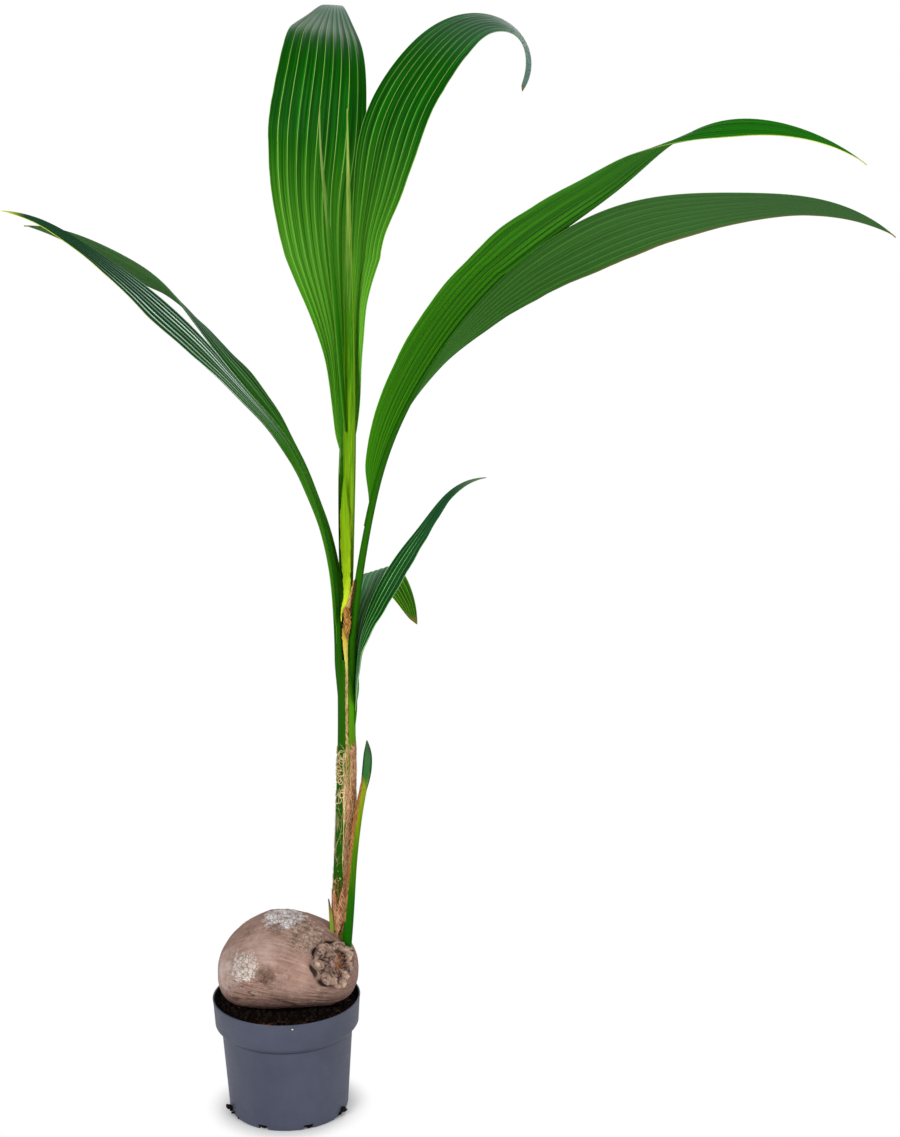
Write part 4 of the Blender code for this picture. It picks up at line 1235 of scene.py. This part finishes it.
def makeLeaves():
    bright = leafFinish("glossyPalmLeafUpper", upperTone)
    matt = leafFinish("mattPalmLeafUnder", farUnderTone)
    folded = leafFinish("foldedPalmLeafUnder", nearUnderTone)
    striped = leafFinish("stripedPalmLeafUpper", stripedTone)
    twisted = leafFinish("yellowEdgedPalmLeafUpper", twistedTone)
    small = leafFinish("smallPalmLeafUpper", smallTone)
    hanging = leafFinish("smallPalmLeafUnder", hangingTone)
    shaded = leafFinish("shadedPalmLeafUpper", hiddenTone)
    grey = leafFinish("greyPalmLeafUpper", smallBackTone)
    darkStalk = stalkFinish("darkLeafStalk", "245a06", "1c5404", "2a6a10", "5c9a3a")
    shadedStalk = stalkFinish("shadedLeafStalk", "0e3002", "0a2802", "3a7808", "8fbf3f")
    greenStalk = stalkFinish("greenLeafStalk", "286406", "266204", "1f5406", "30661a")
    makeStalk("leftStalk", leftLeaf, darkStalk, "left_leaf_stalk")
    makeStalk("centreStalk", centreLeaf, shadedStalk, "centre_leaf_stalk")
    makeStalk("rightStalk", rightLeaf, greenStalk, "right_leaf_stalk")
    makeStalk("smallStalk", smallLeaf, greenStalk, "small_leaf_stalk", 24)
    # each lobe's leaf, shape, upper and under finish, and the nodes it stands for
    lobes = (
        ("leftFrontLobe", leftLeaf, leftFront, striped, matt, "left_leaf_front_blade", "left_leaf_front_tip"),
        ("leftBackLobe", leftLeaf, leftBack, shaded, matt, "left_leaf_back_blade", "left_leaf_back_tip"),
        ("centreLeftLobe", centreLeaf, centreLeft, bright, matt, "centre_leaf_left_blade",
         "centre_leaf_left_tip"),
        ("centreRightLobe", centreLeaf, centreRight, bright, matt, "centre_leaf_right_blade",
         "centre_leaf_right_tip"),
        ("rightNearLobe", rightLeaf, rightNear, twisted, folded, "right_leaf_near_blade",
         "right_leaf_near_tip"),
        ("rightFarLobe", rightLeaf, rightFar, twisted, matt, "right_leaf_far_blade", "right_leaf_far_tip"),
        ("smallFrontLobe", smallLeaf, smallFront, small, matt, "small_leaf_front_blade"),
        ("smallBackLobe", smallLeaf, smallBack, grey, hanging, "small_leaf_back_blade",
         "small_leaf_back_tip"))
    for seed, (name, leaf, lobe, upper, under, *nodes) in enumerate(lobes, 1):
        makeLobe(name, leaf, lobe, [upper, under], nodes, seed)


makeLeaves()
print("leaves made")


youngLeaves = {
    "spear": dict(
        root=(0.0865, 0.0035, 0.6072), length=0.667, rise=(87.5, 88, 88, 88.5, 88.5, 89),
        heading=(30, 60, 80), breadth=(0.0064, 0.0084, 0.0096, 0.0074, 0.0036, 0.0007),
        depth=(0.0048, 0.0042, 0.0030, 0.0028, 0.0020, 0.0007), steps=110, sides=36, ridges=5),
    "sideSpear": dict(
        root=(0.0896, 0.0076, 0.8895), length=0.387, rise=(94.5, 94, 94, 95, 94.5, 88),
        heading=(40, 25, 10), depth=(0.0018, 0.0036, 0.0038, 0.0032, 0.0020, 0.0006),
        breadth=(0.0014, 0.0020, 0.0022, 0.0018, 0.0014, 0.0006), steps=80, sides=28, ridges=4),
    "sideShoot": dict(
        root=(0.0798, -0.0190, 0.2290), length=0.2100, rise=(84.5, 85, 84.5, 81.5, 77), heading=(8, 14, 20),
        depth=(0.0062, 0.0060, 0.0052, 0.0050, 0.0046), breadth=(0.0046, 0.0044, 0.0038, 0.0030, 0.0022),
        steps=70, sides=32, ridges=0),
    "sideShootBlade": dict(
        length=0.064, rise=(76, 85, 95), heading=(20, 10, 0),
        depth=(0.0046, 0.0058, 0.0060, 0.0048, 0.0008), breadth=(0.0022, 0.0018, 0.0014, 0.0012, 0.0007),
        steps=40, sides=28, ridges=3),
    "scaleLeaf": dict(
        root=(0.0612, -0.0105, 0.2360), length=0.054, rise=(90, 94, 98), heading=(0, 0),
        depth=(0.0032, 0.0030, 0.0008), breadth=(0.0016, 0.0014, 0.0007), steps=24, sides=20, ridges=2),
}


def youngMesh(spec):
    tracks = grow(spec["root"], spec["length"], spec["rise"], spec["heading"], spec["steps"])
    frames = []
    for i, (point, rise, heading) in enumerate(zip(*tracks)):
        _, level, up = directions(rise, heading)
        share = i / spec["steps"]
        frames.append((point, level, up, keyed(spec["breadth"], share), keyed(spec["depth"], share)))

    def folded(share, around):
        # the leaf is folded fan-wise round itself, so ridges run up it
        return 1 - 0.16 * (0.5 + 0.5 * math.cos(spec["ridges"] * around * 2)) if spec["ridges"] else 1.0

    return tubeMesh(frames, spec["sides"], folded)


def makeYoungLeaves():
    lime = stalkFinish("limeYoungLeaf", "f0fa3c", "84b418", "2f7406", "98ac58", 0.5, "6a9420")
    pale = stalkFinish("paleYoungLeaf", "1f6404", "246a06", "2f7010", "8f9a5c", 0.5, "5f8c2c")
    shoot = stalkFinish("yellowGreenShoot", "165604", "1c5e04", "4a7a06", "8c9a14", 0.42)
    blade = stalkFinish("blueGreenShootBlade", "8a9a18", "2f6a2c", "3a683a", "344e34", 0.45, "123418")
    scale = stalkFinish("darkTippedScale", "9fae3a", "6f9a2a", "8f8a3a", "3a2416", 0.5)
    foot = youngLeaves["sideShoot"]
    tracks = grow(foot["root"], foot["length"], foot["rise"], foot["heading"], 10)
    tip, rise, heading = (track[-1] for track in tracks)
    youngLeaves["sideShootBlade"]["root"] = tip + directions(rise, heading)[0] * sheet["clear"]
    for name, finish, node in (
            ("spear", lime, "spear_leaf"), ("sideSpear", pale, "spear_side_leaf"),
            ("sideShoot", shoot, "side_shoot"), ("sideShootBlade", blade, "side_shoot_blade"),
            ("scaleLeaf", scale, "scale_leaf")):
        fitPiece(makeObject(youngMesh(youngLeaves[name]), name, [finish], 60), "young_leaf", node)


# dry tissue torn open where the young leaves come out; flat strips, each point with its half breadth
tornTissue = {
    "yellowStrip": dict(
        line=((0.0868, -0.0136, 0.580), (0.0862, -0.0140, 0.602), (0.0853, -0.0140, 0.622),
              (0.0850, -0.0136, 0.640), (0.0864, -0.0130, 0.652)),
        breadth=(0.0012, 0.0020, 0.0030, 0.0038, 0.0038), thick=0.0012, curl=0.0),
    "limeSliver": dict(
        line=((0.0806, -0.0128, 0.656), (0.0814, -0.0138, 0.667), (0.0848, -0.0134, 0.678),
              (0.0874, -0.0122, 0.687), (0.0882, -0.0104, 0.698), (0.0878, -0.0080, 0.712),
              (0.0872, -0.0058, 0.732), (0.0868, -0.0040, 0.762), (0.0867, -0.0026, 0.796),
              (0.0868, -0.0014, 0.835)),
        breadth=(0.0005, 0.0012, 0.0028, 0.0036, 0.0045, 0.0050, 0.0056, 0.0060, 0.0050, 0.0006),
        thick=0.0008, curl=0.0),
    "brownCurl": dict(
        line=((0.0872, -0.0150, 0.634), (0.0880, -0.0158, 0.648), (0.0886, -0.0158, 0.660),
              (0.0882, -0.0166, 0.6695), (0.0864, -0.0186, 0.6725), (0.0866, -0.0202, 0.6650),
              (0.0888, -0.0200, 0.6630)),
        breadth=(0.0012, 0.0038, 0.0044, 0.0038, 0.0030, 0.0024, 0.0014), thick=0.0007, curl=0.0010),
    "brownStrip": dict(
        line=((0.0886, -0.0155, 0.666), (0.0904, -0.0146, 0.678), (0.0928, -0.0138, 0.689),
              (0.0952, -0.0134, 0.699), (0.0970, -0.0138, 0.708)),
        breadth=(0.0028, 0.0024, 0.0018, 0.0013, 0.0006), thick=0.0006, curl=0.0008),
    "darkShred": dict(
        line=((0.0922, -0.0168, 0.663), (0.0934, -0.0164, 0.676), (0.0954, -0.0160, 0.688),
              (0.0974, -0.0156, 0.699), (0.0988, -0.0150, 0.710)),
        breadth=(0.0005, 0.0010, 0.0013, 0.0013, 0.0006), thick=0.0008, curl=0.0010),
}


def stripMesh(spec, seed):
    # a narrow sheet along a line of points, facing the front and crinkled along its edges
    steps = 12 * (len(spec["line"]) - 1)
    frames = []

    def placeAt(share):
        return Vector([keyed([place[axis] for place in spec["line"]], share) for axis in range(3)])

    for i in range(steps + 1):
        share = i / steps
        point = placeAt(share)
        along = (placeAt(share + 0.01) - placeAt(share - 0.01)).normalized()
        level = Vector((0, 1, 0)).cross(along)
        level = level.normalized() if level.length > 0.2 else Vector((1, 0, 0))
        if level.x < 0:
            level.negate()
        ragged = 1 + 0.35 * noise.noise(Vector((share * 17, seed, 0.0)))
        point += level * spec["curl"] * noise.noise(Vector((share * 9, seed, 4.0)))
        frames.append((point, level, along.cross(level), max(keyed(spec["breadth"], share), 0.0003) * ragged,
                       spec["thick"]))
    return tubeMesh(frames, 16)


def shootMarginLine():
    # points along the left edge of the side shoot and on up the foot of its blade
    line = []
    for name, shares in (("sideShoot", (0.16, 0.36, 0.56, 0.76, 0.94)), ("sideShootBlade", (0.10, 0.28))):
        spec = youngLeaves[name]
        points, rises, headings = grow(spec["root"], spec["length"], spec["rise"], spec["heading"], 50)
        for share in shares:
            i = round(share * 50)
            _, level, up = directions(rises[i], headings[i])
            depth, breadth = keyed(spec["depth"], share), keyed(spec["breadth"], share)
            line.append(points[i] + up * depth * 0.86 - level * breadth * 0.5)
    return line


def makeTornTissue():
    tornTissue["shootMargin"] = dict(line=shootMarginLine(), thick=0.0009, curl=0.0002,
                                     breadth=(0.0010, 0.0020, 0.0025, 0.0025, 0.0020, 0.0014, 0.0004))
    yellow = stalkFinish("yellowYoungTissue", "c0a868", "d8cc66", "d2b848", "7a4c1c", 0.5)
    brown = wovenFinish("tornBrownTissue", "3e1e08", "8c5622", "c8954e")
    tan = wovenFinish("tanTornEdge", "8a5a28", "bf9250", "e2c88c")
    dark = plainFinish("darkDriedTissue", "1c100a", "5a3418", 0.0015, 0.8)
    rust = wovenFinish("rustShootMargin", "5f3016", "8f5a30", "b08046")
    fresh = stalkFinish("limeTornEdge", "dce43c", "c4dc28", "98c014", "6a9c10", 0.5)
    finishes = {"yellowStrip": yellow, "limeSliver": fresh, "brownCurl": brown, "brownStrip": tan,
                "darkShred": dark, "shootMargin": rust}
    for seed, (name, spec) in enumerate(tornTissue.items()):
        fitPiece(makeObject(stripMesh(spec, seed), name, [finishes[name]], 60), "woven_fibre")


makeYoungLeaves()
makeTornTissue()
print("young leaves made")
